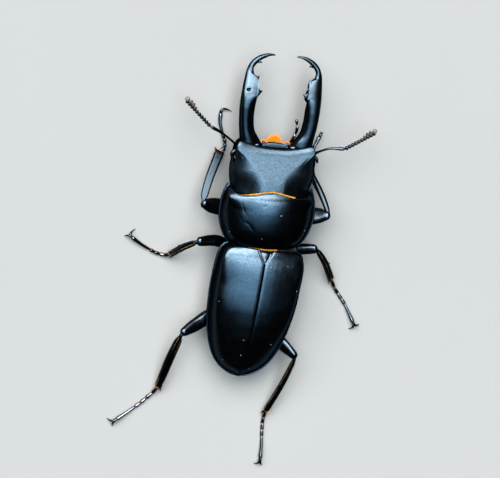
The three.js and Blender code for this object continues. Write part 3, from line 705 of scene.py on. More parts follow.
def bristle_tree():
    """Stands a fine bent cone on every point, along its lie, at its reach and girth."""
    tree = bpy.data.node_groups.new("stand_bristles", "GeometryNodeTree")
    for name, kind in (("Roots", "Geometry"), ("Bend", "Float"), ("Sides", "Int"), ("Finish", "Material")):
        tree.interface.new_socket(name, in_out="INPUT", socket_type="NodeSocket" + kind)
    tree.interface.new_socket("Bristles", in_out="OUTPUT", socket_type="NodeSocketGeometry")
    graph = Graph(tree)
    given = graph.add("NodeGroupInput").outputs

    def named(attribute, kind="FLOAT_VECTOR"):
        node = graph.add("GeometryNodeInputNamedAttribute", {"data_type": kind}, Name=attribute)
        return node.outputs["Attribute"]

    def stored(attribute, shape, value):
        node = graph.add(
            "GeometryNodeStoreNamedAttribute", {"data_type": "FLOAT2", "domain": "CORNER"},
            Name=attribute, Geometry=shape, Value=value,
        )
        return node.outputs["Geometry"]

    cone = graph.add(
        "GeometryNodeMeshCone", {"fill_type": "TRIANGLE_FAN"}, Vertices=given["Sides"], Side_Segments=3,
        Radius_Top=0.12, Radius_Bottom=0.5, Depth=1.0,
    ).outputs
    patch = stored("patch", cone["Mesh"], cone["UV Map"])
    place = graph.add("ShaderNodeSeparateXYZ", Vector=graph.add("GeometryNodeInputPosition").outputs[0])
    height = graph.join("ShaderNodeMath", "POWER", place.outputs["Z"], 2.0)
    sway = graph.add("ShaderNodeCombineXYZ", X=graph.times(height, given["Bend"]))
    bent = graph.add("GeometryNodeSetPosition", Geometry=patch, Offset=sway.outputs[0])

    turn = graph.add("FunctionNodeAlignRotationToVector", {"axis": "Z"}, Vector=named("lie"))
    girth = named("girth", "FLOAT")
    size = graph.add("ShaderNodeCombineXYZ", X=girth, Y=girth, Z=named("reach", "FLOAT"))
    stood = graph.add(
        "GeometryNodeInstanceOnPoints", Points=given["Roots"], Instance=bent.outputs["Geometry"],
        Rotation=turn.outputs["Rotation"], Scale=size.outputs[0],
    )
    real = graph.add("GeometryNodeRealizeInstances", Geometry=stood.outputs["Instances"])

    scaling = {"operation": "SCALE"}
    small = graph.add("ShaderNodeVectorMath", scaling, Vector=named("patch"), Scale=TUFT_PATCH)
    spot = graph.join("ShaderNodeVectorMath", "ADD", named("spot"), small.outputs[0])
    unwrapped = stored("OFBake", real.outputs["Geometry"], spot)
    coated = graph.add("GeometryNodeSetMaterial", Geometry=unwrapped, Material=given["Finish"])
    graph.add("NodeGroupOutput", Bristles=coated.outputs["Geometry"])
    return tree


BRISTLE_TREE = bristle_tree()


def grow(name, bristles, finish, bend, sides=4):
    """Turns a group of bristles into one plain mesh that rides on the beetle."""
    material, slot = finish
    holder = stand(name + "_roots", bristles.mesh(name + "_roots"))
    modifier = holder.modifiers.new("stand", "NODES")
    modifier.node_group = BRISTLE_TREE
    values = {"Bend": bend, "Sides": sides, "Finish": material}
    for item in BRISTLE_TREE.interface.items_tree:
        if item.name in values:
            modifier[item.identifier] = values[item.name]
    bpy.context.view_layer.update()
    grown = holder.evaluated_get(bpy.context.evaluated_depsgraph_get())
    mesh = bpy.data.meshes.new_from_object(grown)
    mesh.name = name
    holder.modifiers.remove(modifier)
    bpy.data.objects.remove(holder)
    mesh.shade_smooth()
    add_piece(name, mesh)


# ---------------- pronotum and what it covers

pronotum_half = profile([
    (0, 4.9), (0.03, 5.6), (0.08, 6.15), (0.16, 6.72), (0.28, 7.25), (0.45, 7.68),
    (0.62, PRONOTUM["half_width"]), (0.78, 7.52), (0.92, 7.08), (1, 6.75),
])
pronotum_front = profile([
    (0, 8.85), (1.4, 8.65), (2.8, 8.35), (4.2, 8.15), (5.4, 8.15), (6.2, 8.65), (6.8, 9.55),
])
pronotum_crown = profile([
    (-0.42, 8.0), (0.4, 8.5), (1.2, 8.85), (2.8, 9.16), (5.2, PRONOTUM["crown"]), (6.9, 9.2),
    (7.9, 8.99), (9.3, 8.32),
])
# Healed scratches: centre, angle, length, width and depth.
SCARS = [
    ((-4.4, 6.0), 20, 0.8, 0.1, 0.02), ((-3.9, 5.2), 35, 0.7, 0.09, 0.015),
    ((-4.6, 4.3), 30, 1.1, 0.12, 0.012), ((-2.9, 3.1), 35, 0.6, 0.22, 0.04),
    ((-1.1, 6.7), -60, 0.35, 0.2, 0.015), ((-3.6, 3.7), 60, 0.4, 0.2, 0.03),
]


def side_bead(gap):
    """Height of the round bead at that distance from the rim."""
    across = np.abs(2 * gap / BEAD["width"] - 1)
    return BEAD["radius"] * np.sqrt(np.clip(1 - across ** BEAD["square"], 0, 1))


def margin(gap):
    """Fine bead and groove along an edge that lies on the curved back."""
    return 0.05 * hump(gap, 0.15, 0.08) - 0.012 * hump(gap, 0.34, 0.08) - edge_fall(gap, 0.1)


def dent(x, y, centre, angle, length, width, depth):
    """Shallow elongated dent, its length turned by angle from the Y axis."""
    c, s = math.cos(math.radians(angle)), math.sin(math.radians(angle))
    dx, dy = x - centre[0], y - centre[1]
    along, aside = dy * c - dx * s, dx * c + dy * s
    return -depth * np.exp(-((along / length) ** 2) - (aside / width) ** 2)


def pronotum_level(x, y, half):
    """Height of the shield's back inside its side beads, with its margins and scars."""
    rim = PRONOTUM["rim"]
    reach = np.abs(x) / (half - BEAD["width"])
    ahead = smooth(5.5, 8.0, y)
    dome = rim + (pronotum_crown(y) - rim) * vault(reach, mix(0.45, 0.27, ahead), mix(6, 11, ahead))
    dome = dome - 0.25 * smooth(6.0, 8.2, y) * hump(np.abs(x), 5.0, 1.4)
    lifted = smooth(0.3, 1.6, dome - rim)
    dome = dome + lifted * (margin(pronotum_front(np.abs(x)) - y) + margin(y - PRONOTUM["rear"]))
    for scar in SCARS:
        dome = dome + dent(x, y, *scar)
    return dome


def pronotum_shape():
    """Vaulted shield with a bead along each side."""
    s, v = np.meshgrid(crowded(181), gathered(151))
    half = pronotum_half(v)
    x = s * half
    y = mix(PRONOTUM["rear"], pronotum_front(np.abs(x)), v)
    rim = PRONOTUM["rim"]
    gap = half - np.abs(x)
    on_bead = gap < BEAD["width"]
    z = np.where(on_bead, rim + side_bead(gap), np.maximum(pronotum_level(x, y, half), rim))
    low = rim - np.where(on_bead, side_bead(gap), 0.0) - 0.02 * (gap > 0)
    return turned(plate(x, y, z, np.minimum(low, rim)), FRONT)


def prosternum_shape():
    """Underside of the fore body, with a keel between the fore coxae."""
    s, v = np.meshgrid(crowded(81), gathered(61))
    x = s * (pronotum_half(v) - 0.3)
    y = mix(PRONOTUM["rear"] + 0.15, pronotum_front(np.abs(x)) - 0.15, v)
    fullness = np.sin(np.pi * mix(0.12, 0.88, v)) ** 0.6
    swell = (1 - np.abs(s) ** 2.2) ** 0.8 * fullness
    low = mix(4.75, BELLY["middle"], swell) - 0.25 * hump(x, 0, 0.5) * smooth(7.5, 5.0, y)
    return turned(plate(x, y, PRONOTUM["rim"] - 0.1, low), FRONT)


def collar_shape(points, half, width, depth, ahead_end):
    """Dark soft skin between two parts of the body."""
    ends = round_ends(24, 0.15, ahead_end)
    path = curve(points, 24)
    if half:
        path = placed(path, half)
    return limb(path, width * ends, depth * ends, 48, squareness=2.2)


build("pronotum_shield", [pronotum_shape()], SHELL, ["pronotum"])
build("prosternum_plate", [prosternum_shape()], SHELL, ["prosternum"])
build("waist_collar", [
    collar_shape([(0.05, -2.4, 5.7), (0.05, -0.8, 5.7), (0.05, 1.2, 5.6)], None, 10.0, 4.0, 0.2),
    collar_shape([(0, 5.4, 5.4), (0, 7.2, 5.4), (0, 9.4, 5.4)], FRONT, 10.6, 3.6, 0.15),
], JOINT)

# ---------------- wing cases, scutellum, belly

elytron_edge = curve([
    (4.9, ELYTRA["front"] - 0.1, 0), (6.1, -0.8, 0), (6.75, -1.5, 0), (7.12, -2.8, 0),
    (ELYTRA["half_width"], -5.5, 0), (ELYTRA["half_width"], -8.6, 0), (7.05, -12, 0), (6.5, -15, 0),
    (5.72, -17.5, 0), (4.65, -19.6, 0), (3.15, -21.2, 0), (1.4, -22.15, 0), (0.3, ELYTRA["apex"], 0),
], 221)[::-1]
elytra_crown = profile([
    (ELYTRA["apex"], 5.6), (-21.6, 6.25), (-20.5, 6.95), (-17.5, 8.05), (-14, 8.85), (-11, 9.2),
    (-9, ELYTRA["crown"]), (-6, 9.13), (-4, 9.0), (-2.5, 8.8), (-1.5, 8.55), (-0.5, 8.14),
])


def elytron_shape():
    """Right wing case: a vault between its seam and its outer bead, cut out for the scutellum."""
    count = len(elytron_edge)
    reach, row = np.meshgrid(np.sin(np.linspace(0, 0.5, 101) * np.pi), np.arange(count))
    edge_x, edge_y = elytron_edge[row, 0], elytron_edge[row, 1]
    seam_y = mix(ELYTRA["apex"] + 0.1, ELYTRA["front"], gathered(count))[row]
    y = mix(seam_y, edge_y, reach**1.5)
    shield = np.clip((seam_y - SCUTELLUM["tip"]) / (SCUTELLUM["base"] - SCUTELLUM["tip"]), 0, 1)
    inner = ELYTRA["seam"] + shield * SCUTELLUM["half_width"]
    span = edge_x - inner
    x = inner + span * reach
    gap = span * (1 - reach)
    seam_gap = x - inner
    bead = np.minimum(0.2, 0.3 * span)
    rim = ELYTRA["rim"]

    inward = np.clip(seam_gap / np.maximum(span - bead, 1e-6), 0, 1)
    edge = mix(14.0, 5.0, smooth(-8, -19, y)) + 20 * smooth(-7, -2, y)
    flatness = mix(0.3, 0.5, smooth(-8, -19, y)) - 0.06 * smooth(-7, -2.5, y)
    dome = rim + (elytra_crown(y) - rim) * vault(inward, flatness, edge)
    groove = -0.035 * hump(seam_gap, 0.2, 0.09) - edge_fall(seam_gap, 0.1)
    stripes = 0.0012 * np.cos(2 * np.pi * x / 0.95) * smooth(0.6, 1.6, seam_gap) * smooth(0.2, 2.0, gap)
    shoulder = 0.05 * hump(x, 5.2, 0.9) * hump(y, -1.9, 1.2)
    base_fall = edge_fall(ELYTRA["front"] + 0.02 - y, 0.28)
    dome = dome + smooth(0.2, 1.2, dome - rim) * (groove + stripes + shoulder - base_fall)

    place = np.abs(2 * gap / np.maximum(bead, 1e-6) - 1)
    crest = 0.12 * np.sqrt(np.clip(1 - place ** BEAD["square"], 0, 1))
    z = np.where(gap < bead, rim + crest, np.maximum(dome, rim))
    low = np.where(gap < bead, rim - crest, rim - 0.02)
    return plate(x, y, z, np.minimum(low, z - 0.02))


def scutellum_shape():
    """Small shield with two grooves that meet at its tip."""
    s, v = np.meshgrid(np.linspace(-1, 1, 41), gathered(41))
    half = SCUTELLUM["half_width"] * np.sqrt(np.clip(v, 0, 1)) * mix(1, 0.9, v) + 0.02
    y = mix(SCUTELLUM["tip"], SCUTELLUM["base"], v)
    gap = (1 - np.abs(s)) * half
    crown = elytra_crown(y) - 0.08 + 0.10 * (1 - s**2) - 0.3 * smooth(0.75, 1.0, v)
    z = crown - edge_fall(gap, 0.1) - 0.05 * hump(gap, 0.28, 0.1)
    return turned(plate(s * half, y, z, crown - 0.7), BACK)


belly_half = profile([
    (-22.0, 1.6), (-21, 3.3), (-19, 4.85), (-16, 5.95), (-12, 6.75), (-8, 7.0), (-3, 6.85),
    (-0.6, 5.6), (0.4, 4.9),
])
VENTRITES = (-12.4, -14.6, -16.6, -18.5, -20.2)


def belly_shape(rear, ahead, middle, detail):
    """Stretch of the underside between two places, flat above and closed by the wing cases."""
    s, v = np.meshgrid(crowded(101), np.linspace(0, 1, 121))
    y = mix(rear, ahead, v)
    x = s * belly_half(y)
    swell = (1 - np.abs(s) ** 2.2) ** 0.85
    low = mix(BELLY["edge"], middle(y), swell) + detail(x, y)
    return turned(plate(x, y, ELYTRA["rim"] - 0.01, np.minimum(low, ELYTRA["rim"] - 0.05)), BACK)


def chest_detail(x, y):
    """Middle groove and the slanting seams of the side pieces."""
    sides = hump(np.abs(x) - (4.9 + 0.12 * (y + 5)), 0, 0.12)
    return 0.12 * hump(x, 0, 0.15) + 0.14 * sides + 0.1 * hump(y, -0.9, 0.2)


def ventrite_detail(x, y):
    """Each belly ring laps over the next with a small step."""
    steps = sum(0.07 * smooth(edge + 0.5, edge, y) * smooth(edge - 0.12, edge, y) for edge in VENTRITES)
    grooves = sum(0.13 * hump(y, edge - 0.06, 0.09) for edge in VENTRITES)
    return grooves - steps


elytron = elytron_shape()
chest_middle = profile([
    (-10.6, BELLY["middle"] + 0.2), (-9, BELLY["middle"]), (-1, BELLY["middle"]), (0.3, 2.7),
])
abdomen_middle = profile([
    (-22.0, 3.9), (-20, 3.1), (-16, BELLY["middle"] + 0.15), (-10, BELLY["middle"] + 0.1),
])
build("wing_case_left", [turned(mirrored(elytron), BACK)], WING_CASE, ["elytron_left"])
build("wing_case_right", [turned(elytron, BACK)], WING_CASE, ["elytron_right"])
build("scutellum_shield", [scutellum_shape()], SHELL, ["scutellum"])
build("metasternum_plate", [belly_shape(-10.05, 0.2, chest_middle, chest_detail)], SHELL, ["metasternum"])
build("abdomen_rings", [belly_shape(-22.0, -9.95, abdomen_middle, ventrite_detail)], SHELL, ["abdomen"])

# ---------------- head and eyes

head_half = profile([
    (0, 6.0), (0.25, 6.6), (0.45, HEAD["half_width"]), (0.65, 6.78), (0.85, 6.66), (0.94, 6.4),
    (0.98, 6.1), (1, 5.75),
])
head_front = profile([
    (0, 15.55), (1.8, 15.6), (3.2, 15.78), (4.6, 16.12), (5.6, 16.38), (6.1, 16.35), (6.8, 15.9),
])
head_crown = profile([
    (7, 8.48), (8.2, HEAD["crown"]), (9.5, 8.27), (10.5, 8.13), (11.5, 7.93), (13.3, 7.51), (14.2, 7.33),
    (14.8, 7.22), (16.4, 6.85),
])
# Two small pits: centre, angle, length, width and depth.
HEAD_PITS = [((-5.2, 13.9), 25, 0.4, 0.15, 0.05), ((4.9, 14.0), -40, 0.7, 0.14, 0.04)]
# Half the width of the level face, which narrows to the rear like a wedge.
frons_half = profile([
    (7, 0.2), (8.8, 0.35), (10.5, 0.95), (12, 2.1), (13.2, 3.5), (14.2, 4.95), (15.0, 6.0), (16.4, 6.2),
])


def head_shape():
    """Capsule with a wedge-shaped face, a raised front rim and steep flanks."""
    s, v = np.meshgrid(crowded(201), gathered(161))
    half = head_half(v)
    x = s * half
    out = np.abs(x)
    front = head_front(out)
    y = mix(pronotum_front(out) - 1.6, front, v)
    gap = front - y
    flat = np.minimum(frons_half(y), half - 0.33)
    fall = np.clip((out - flat) / (half - flat), 0, 1)
    side = HEAD["side"] - 0.2 * smooth(0.85, 1.0, v)
    z = side + (head_crown(y) - side) * (1 - fall**2.1) ** 0.62
    z = z + 0.03 * hump(gap, 0.75, 0.35) - 0.22 * np.clip(1 - gap / 1.0, 0, 1) ** 2
    z = z + 0.06 * hump(out, 5.6, 0.9) * hump(y, 15.8, 0.7)
    z = z - 0.52 * smooth(12.0, 8.3, y) * smooth(1.6, 3.9, out)
    for pit in HEAD_PITS:
        z = z + dent(x, y, *pit)
    z = np.maximum(z - edge_fall(gap, 0.3), side)
    belly = mix(HEAD["belly"] + 0.5, HEAD["belly"], np.sin(np.pi * v))
    return turned(plate(x, y, z, mix(side, belly, (1 - np.abs(s) ** 2.5) ** 0.6)), FRONT)


def canthus_shape(side):
    """Ridge of the cheek that runs over the front of the eye."""
    path = curve([(side * 6.0, 14.9, 6.2), (side * 6.72, 14.35, 6.25), (side * 6.95, 13.6, 6.15)], 20)
    ends = round_ends(20, 0.3, 0.4)
    return turned(limb(path, 0.5 * ends, 0.6 * ends, 16), FRONT)


def eye_shape(side):
    x, y, z = EYE["centre"]
    return turned(ellipsoid((side * x, y, z), EYE["radii"], 48, 32), FRONT)


build("head_capsule", [head_shape(), canthus_shape(-1), canthus_shape(1)], HEAD_FINISH, ["head"])
for side, sign in SIDES.items():
    build(f"eye_{side}_lens", [eye_shape(sign)], EYE_FINISH, [f"eye_{side}"])

# ---------------- mandibles

# Small pit in the left blade: centre, angle, length, width and depth.
BLADE_PIT = ((5.45, 24.42), 65, 0.24, 0.15, 0.32)
stations = np.array(MANDIBLE)
station_numbers = np.arange(len(stations))
station_value = [profile(list(zip(station_numbers, stations[:, k]))) for k in range(5)]


def leaned(x, y, level, side):
    """Shifts the part of a mandible that hangs lower, so that it lines up from above."""
    drop = LEAN["level"] - level
    return x + side * LEAN["x"] * drop, y + LEAN["y"] * drop


def blade_top(y, side):
    """Level of the upper inner edge of the blade that far forward."""
    levels = profile(MANDIBLE_LEVELS)(station_numbers)
    widths = np.hypot(stations[:, 0] - stations[:, 2], stations[:, 1] - stations[:, 3])
    tops = levels + stations[:, 4] / 2 * 0.86 + MANDIBLE_TILT[side] * widths / 2
    return np.interp(y, stations[:, 1], tops), np.interp(y, stations[:, 1], levels)


def tooth_shape(tooth, side):
    """Pointed tooth with hollow flanks, flush with the top of the mandible."""
    rows = 26
    way = curve(np.column_stack([tooth["way"], np.zeros(3)]), rows)
    taper = np.maximum(1 - gathered(rows), 0.03)
    depth = tooth["depth"] * taper**0.9
    top, level = blade_top(way[:, 1], side)
    x, y = leaned(way[:, 0], way[:, 1], level, side)
    sunk = 0.4 * smooth(0.48, 0.2, 1 - taper)
    path = np.stack([x, y, top - 0.02 - sunk - 0.25 * (1 - taper) ** 2 - depth / 2], axis=-1)
    return limb(path, tooth["width"] * taper**1.6, depth, 20, squareness=4.0)


def section_heights(places, share, above, side):
    """Heights round the section, as shares of half its depth, and how far it has become a blade."""
    bladed = profile(BLADE_SHARE)(places)[:, None]
    off_crest = share + MANDIBLE_CREST[side] * (1 - bladed) * (1 - share**2)
    power = profile(MANDIBLE_ROUNDNESS[side])(places)[:, None]
    rounded = (1 - np.abs(off_crest) ** power) ** (1 / 2.1)
    inner_share = np.clip(share, 0, 1)
    sharp = profile(BLADE_SHARPNESS)(places)[:, None] * (share > 0)
    upper = mix(rounded, 1 - 0.2 * inner_share**2, sharp)
    lower = mix(rounded, 1 - 1.2 * inner_share**0.9, sharp)
    edge = mix(HIGH_EDGE["root"], HIGH_EDGE["blade"], bladed)
    return np.where(above, edge + (1 - edge) * upper, edge - (1 + edge) * lower), bladed


def mandible_shapes(side):
    """Long hooked mandible: rounded at its root, a flat toothed blade farther on, drooping to its tip."""
    places = np.linspace(0, len(stations) - 1, 300)
    outer_x, outer_y, inner_x, inner_y, depth = (value(places) for value in station_value)
    outer = np.stack([outer_x, outer_y], axis=-1)
    inner = np.stack([inner_x, inner_y], axis=-1)
    width = np.linalg.norm(inner - outer, axis=-1)[:, None]
    inward = (inner - outer) / width
    half_count = 30
    above = np.arange(2 * half_count) <= half_count
    turn = np.arange(2 * half_count) / half_count * np.pi
    across = width * (1 - np.cos(turn)) / 2
    share = np.clip(2 * across / width - 1, -1, 1)
    heights, bladed = section_heights(places, share, above, side)
    level = profile(MANDIBLE_LEVELS)(places)[:, None]
    x = outer[:, 0, None] + inward[:, 0, None] * across
    y = outer[:, 1, None] + inward[:, 1, None] * across
    z = level + depth[:, None] / 2 * heights + MANDIBLE_TILT[side] * bladed * (across - width / 2)
    if side < 0:
        z = z + above * dent(x, y, *BLADE_PIT)
    else:
        z = z + above * 0.2 * (hump(x, 4.05, 0.16) * hump(y, 23.5, 0.16))
    x, y = leaned(x, y, level, side)
    shapes = [skin(np.stack([x, y, z], axis=-1))] + [tooth_shape(tooth, side) for tooth in TEETH]
    return [turned(shape if side > 0 else mirrored(shape), FRONT) for shape in shapes]


def condyle_shape(side):
    """Bright knuckle at the inner root of the mandible."""
    return turned(ellipsoid((side * 2.95, 15.65, 5.6), (0.95, 0.6, 0.85), 28, 18), FRONT)


for side, sign in SIDES.items():
    shapes = mandible_shapes(sign) + [condyle_shape(sign)]
    build(f"mandible_{side}_hook", shapes, MANDIBLE_FINISH, [f"mandible_{side}"])

# ---------------- mouth

LABRUM_HALF = 2.15
labrum_reach = profile([(0, 16.2), (0.9, 16.15), (1.5, 16.12), (1.95, 16.42), (2.15, 16.15)])


def labrum_shape():
    """Upper lip: a small plate with a hollow along its notched front."""
    s, v = np.meshgrid(np.linspace(-1, 1, 61), gathered(31))
    out = np.abs(s) * LABRUM_HALF
    y = mix(14.9, labrum_reach(out), v)
    ahead_gap = labrum_reach(out) - y
    z = mix(5.95, 5.66, v) - edge_fall((1 - np.abs(s)) * LABRUM_HALF, 0.15) - edge_fall(ahead_gap, 0.12)
    z = z - 0.1 * hump(ahead_gap, 0.7, 0.35)
    return turned(plate(s * LABRUM_HALF + 0.04, y, z, z - 0.45), FRONT)


def mentum_shape():
    """Chin plate under the mouth."""
    s, v = np.meshgrid(crowded(41), gathered(41))
    low = 2.55 + 0.45 * s**2 + 0.08 * np.cos(v * 5)
    top = np.full_like(s, 3.5)
    top[:, [0, -1]] = low[:, [0, -1]]
    return turned(plate(s * mix(1.9, 2.9, v), mix(12.0, 15.7, v), top, low), FRONT)


PALPS = {
    "left": [(-2.3, 15.2, 3.6), (-3.0, 16.8, 3.4), (-3.9, 18.0, 3.3), (-4.6, 19.4, 3.3)],
    "right": [
        (2.3, 15.2, 3.6), (2.95, 16.6, 4.0), (3.35, 17.7, 4.2), (3.45, 18.65, 4.35), (3.15, 20.0, 4.5),
    ],
}


def palp_shapes(points):
    """Four joints, each a small club."""
    path = curve(points, 60)
    joints = []
    for start, end in ((0, 18), (16, 32), (30, 45), (43, 60)):
        swell = girths(16, [0, 0.7, 1], [0.34, 0.52, 0.4], 0.1, 0.2)
        joints.append(turned(limb(curve(path[start:end:3], 16), swell, swell, 16), FRONT))
    return joints


build("labrum_plate", [labrum_shape()], LABRUM_FINISH, ["labrum"])
build("mentum_plate", [mentum_shape()], SHELL, ["mentum"])
for side, points in PALPS.items():
    build(f"palp_{side}_joints", palp_shapes(points), TARSUS, [f"palp_{side}"])

# ---------------- feelers

LEAF_ROWS = 16
LEAF_SIDES = 18


def scape_shape(points):
    """Long first joint of the feeler, bent at its middle and stout at its elbow."""
    path = curve([points["base"], points["bend"], points["elbow"]], 50)
    girth = girths(50, [0, 0.08, 0.16, 0.6, 0.9, 1], [0.45, 0.5, 0.34, 0.36, 0.56, 0.46], 0.02, 0.06)
    return limb(path, girth, girth, 16)


def feeler_ways(points, front_side):
    """Elbow and tip of the feeler, and the ways along it and out in front of it."""
    elbow, tip = np.array(points["elbow"]), np.array(points["tip"])
    ahead = unit(tip - elbow)
    return elbow, tip, ahead, unit(np.cross(UP, ahead)) * front_side


def leaf_shape(foot, head, widths, heights):
    """One flat leaf of the club, or a small peg on a joint before it."""
    stem = curve([foot, (foot + head) / 2, head], LEAF_ROWS)
    width = girths(LEAF_ROWS, [0, 0.5, 1], widths, 0.05, 0.45)
    height = girths(LEAF_ROWS, [0, 0.5, 1], heights, 0.05, 0.45)
    return limb(stem, width, height, LEAF_SIDES)


def flagellum_shapes(points, front_side):
    """Ten joints past the elbow. Each stands out a little in front, and the last four are leaves."""
    elbow, tip, ahead, aside = feeler_ways(points, front_side)
    step = np.linalg.norm(tip - elbow) / len(LEAF_REACH)
    girth = girths(14, [0, 0.25, 0.65, 1], [0.28, 0.5, 0.74, 0.34], 0.1, 0.25)
    beads, leaves = [], []
    for i, reach in enumerate(LEAF_REACH):
        root = elbow + ahead * step * i
        foot = root + ahead * step * 0.55
        beads.append(limb(curve([root, foot, root + ahead * step * 1.05], 14), girth, girth, 16))
        head = foot + aside * (0.2 + reach) + ahead * (0.08 + 0.12 * reach)
        if reach > 0.25:
            leaves.append(leaf_shape(foot, head, [0.46, 0.5, 0.44], [0.5, 0.66, 0.6]))
        elif reach > 0.05:
            beads.append(leaf_shape(foot, head, [0.44, 0.34, 0.2], [0.4, 0.34, 0.2]))
    return beads, leaves


def club_end(points, front_side):
    """Pale rounded last leaf at the very end of the feeler."""
    _, tip, ahead, aside = feeler_ways(points, front_side)
    return ellipsoid(tip + ahead * 0.05 + aside * 0.3, (0.42, 0.4, 0.34), 24, 16)


for side, front_side in SIDES.items():
    beads, leaves = flagellum_shapes(ANTENNAE[side], front_side)
    build(f"club_{side}_end", [club_end(ANTENNAE[side], front_side)], PALE_VELVET)
    build(f"scape_{side}_rod", [scape_shape(ANTENNAE[side])], LIMB, [f"scape_{side}"])
    build(f"flagellum_{side}_beads", beads, FEELER, [f"flagellum_{side}"])
    build(f"club_{side}_leaves", leaves, VELVET)

# ---------------- legs

# Points along a shin, and the thorns on its outer side: place along it and size.
TIBIA_ROWS = 80
SHIN_THORNS = {
    "fore": ((0.45, 0.12), (0.57, 0.16), (0.68, 0.2), (0.78, 0.25), (0.88, 0.32), (0.97, 0.62)),
    "mid": ((0.5, 0.5),),
    "hind": ((0.55, 0.22),),
}


def plan_heading(degrees):
    """Level direction, turned anticlockwise from straight ahead."""
    turn = math.radians(degrees)
    return np.array([-math.sin(turn), math.cos(turn), 0.0])


def femur_shape(leg):
    """Stout flattened thigh that bows between hip and knee."""
    hip, knee, stout = np.array(leg["hip"]), np.array(leg["knee"]), leg["stout"]
    middle = (hip + knee) / 2 + np.array(leg["bow"])
    path = curve([hip, middle, knee + unit(knee - middle) * 0.3], 60)
    width = profile([
        (0, 0.9), (0.12, 1.35), (0.45, 1.8 * stout), (0.75, 1.7 * stout), (0.93, 1.45), (1, 1.3),
    ])
    depth = profile([(0, 0.7), (0.12, 1.0), (0.45, 1.3 * stout), (0.75, 1.2), (0.93, 1.1), (1, 1.0)])
    t, ends = gathered(60), round_ends(60, 0.05, 0.07)
    return limb(path, width(t) * ends, depth(t) * ends, 40, squareness=2.4, roll=leg["roll"][0])


def tibia_path(leg):
    hip, knee, ankle = (np.array(leg[key]) for key in ("hip", "knee", "ankle"))
    down, outward_way = unit(ankle - knee), unit(knee - hip)
    neck = knee + down * 0.9 + outward_way * 0.18
    middle = neck + (ankle - neck) * 0.42 + outward_way * 0.22
    return curve([knee + down * 0.1, neck, middle, ankle], TIBIA_ROWS)


def tibia_frame(path):
    ahead = unit(np.gradient(path, axis=0))
    side = unit(np.cross(ahead, UP))
    return ahead, side, np.cross(side, ahead)


def shin_thorns(kind, path, width, outer):
    """Teeth along the outer side of a fore shin, or the thorns of the others."""
    ahead, side, _ = tibia_frame(path)
    t = gathered(TIBIA_ROWS)
    shapes = []
    for place, size in SHIN_THORNS[kind]:
        k = int(np.searchsorted(t, place))
        if kind == "fore":
            root = path[k] + side[k] * outer * width(t[k]) * 0.40
            tip = root + side[k] * outer * size * 0.8 + ahead[k] * size * 0.75
            shapes.append(spine(root, tip, 0.5 * size + 0.18))
        else:
            root = path[k] + side[k] * outer * width(t[k]) * 0.42
            shapes.append(spine(root, root + side[k] * outer * size * 0.6 + ahead[k] * size, 0.24))
    return shapes


def shin_spurs(kind, path, end_width, outer):
    """Spurs at the end of a shin, one on the fore legs and two on the others, and small spines."""
    ahead, side, lift = (way[TIBIA_ROWS - 3] for way in tibia_frame(path))
    end = path[TIBIA_ROWS - 3]
    shapes = []
    for i, way in enumerate((-outer,) if kind == "fore" else (-outer, -outer * 0.55)):
        root = end + side * way * end_width * 0.38
        tip = root + ahead * (0.95 - 0.2 * i) + side * way * 0.22 + UP * 0.05
        tip[2] = max(tip[2], 0.12)
        shapes.append(spine(root, tip, 0.26))
    for way in (-0.75, -0.4, 0.0, 0.4, 0.75):
        root = end + side * way * end_width * 0.5 - lift * 0.1
        shapes.append(spine(root, root + ahead * 0.32 + side * way * 0.12, 0.15, sides=8, rows=6))
    return shapes


def tibia_shapes(kind, leg):
    """Ridged shin that widens to its end, with its thorns and spurs."""
    path = tibia_path(leg)
    mid_width, end_width = leg["shin"]
    width = profile([
        (0, 0.6), (0.06, 0.62), (0.13, 0.84 * mid_width), (0.5, mid_width),
        (0.8, mix(mid_width, end_width, 0.6)), (0.95, end_width), (1, 0.9 * end_width),
    ])
    depth = profile([(0, 0.5), (0.1, 0.65), (0.5, 0.85), (0.9, 0.9), (1, 0.75)])
    t, ends = gathered(TIBIA_ROWS), round_ends(TIBIA_ROWS, 0.02, 0.03)
    shin = limb(path, width(t) * ends, depth(t) * ends, 48, leg["square"], 6, 0.01, leg["roll"][1])
    _, side, _ = tibia_frame(path)
    thigh = np.array(leg["knee"]) - np.array(leg["hip"])
    outer = 1.0 if np.dot(side[TIBIA_ROWS // 2], thigh) > 0 else -1.0
    return [shin] + shin_thorns(kind, path, width, outer) + shin_spurs(kind, path, end_width, outer)


def foot_points(leg):
    return [np.array([x, y, z]) for (x, y), z in zip(leg["foot"], leg["rise"])]


def foot_shapes(leg):
    """Four short joints that swell to their far ends and a long last one."""
    points = foot_points(leg)
    sizes = [0.24, FOOT["waist"], FOOT["width"], 0.42]
    girth = girths(18, [0, 0.25, 0.78, 1], sizes, 0.06, 0.18)
    shapes = []
    previous = np.array(leg["ankle"])
    for point in points[:4]:
        way = unit(point - previous)
        path = curve([previous - way * 0.06, (previous + point) / 2, point + way * 0.05], 18)
        shapes.append(limb(path, girth, girth * 1.02, 18))
        previous = point
    way = unit(points[4] - points[3])
    path = curve([points[3] - way * 0.05, points[4] + np.array([0, 0, 0.08]), points[5]], 30)
    girth = girths(30, [0, 0.12, 0.6, 0.9, 1], [0.3, 0.42, 0.5, 0.64, 0.46], 0.03, 0.08)
    return shapes + [limb(path, girth, girth, 18)]


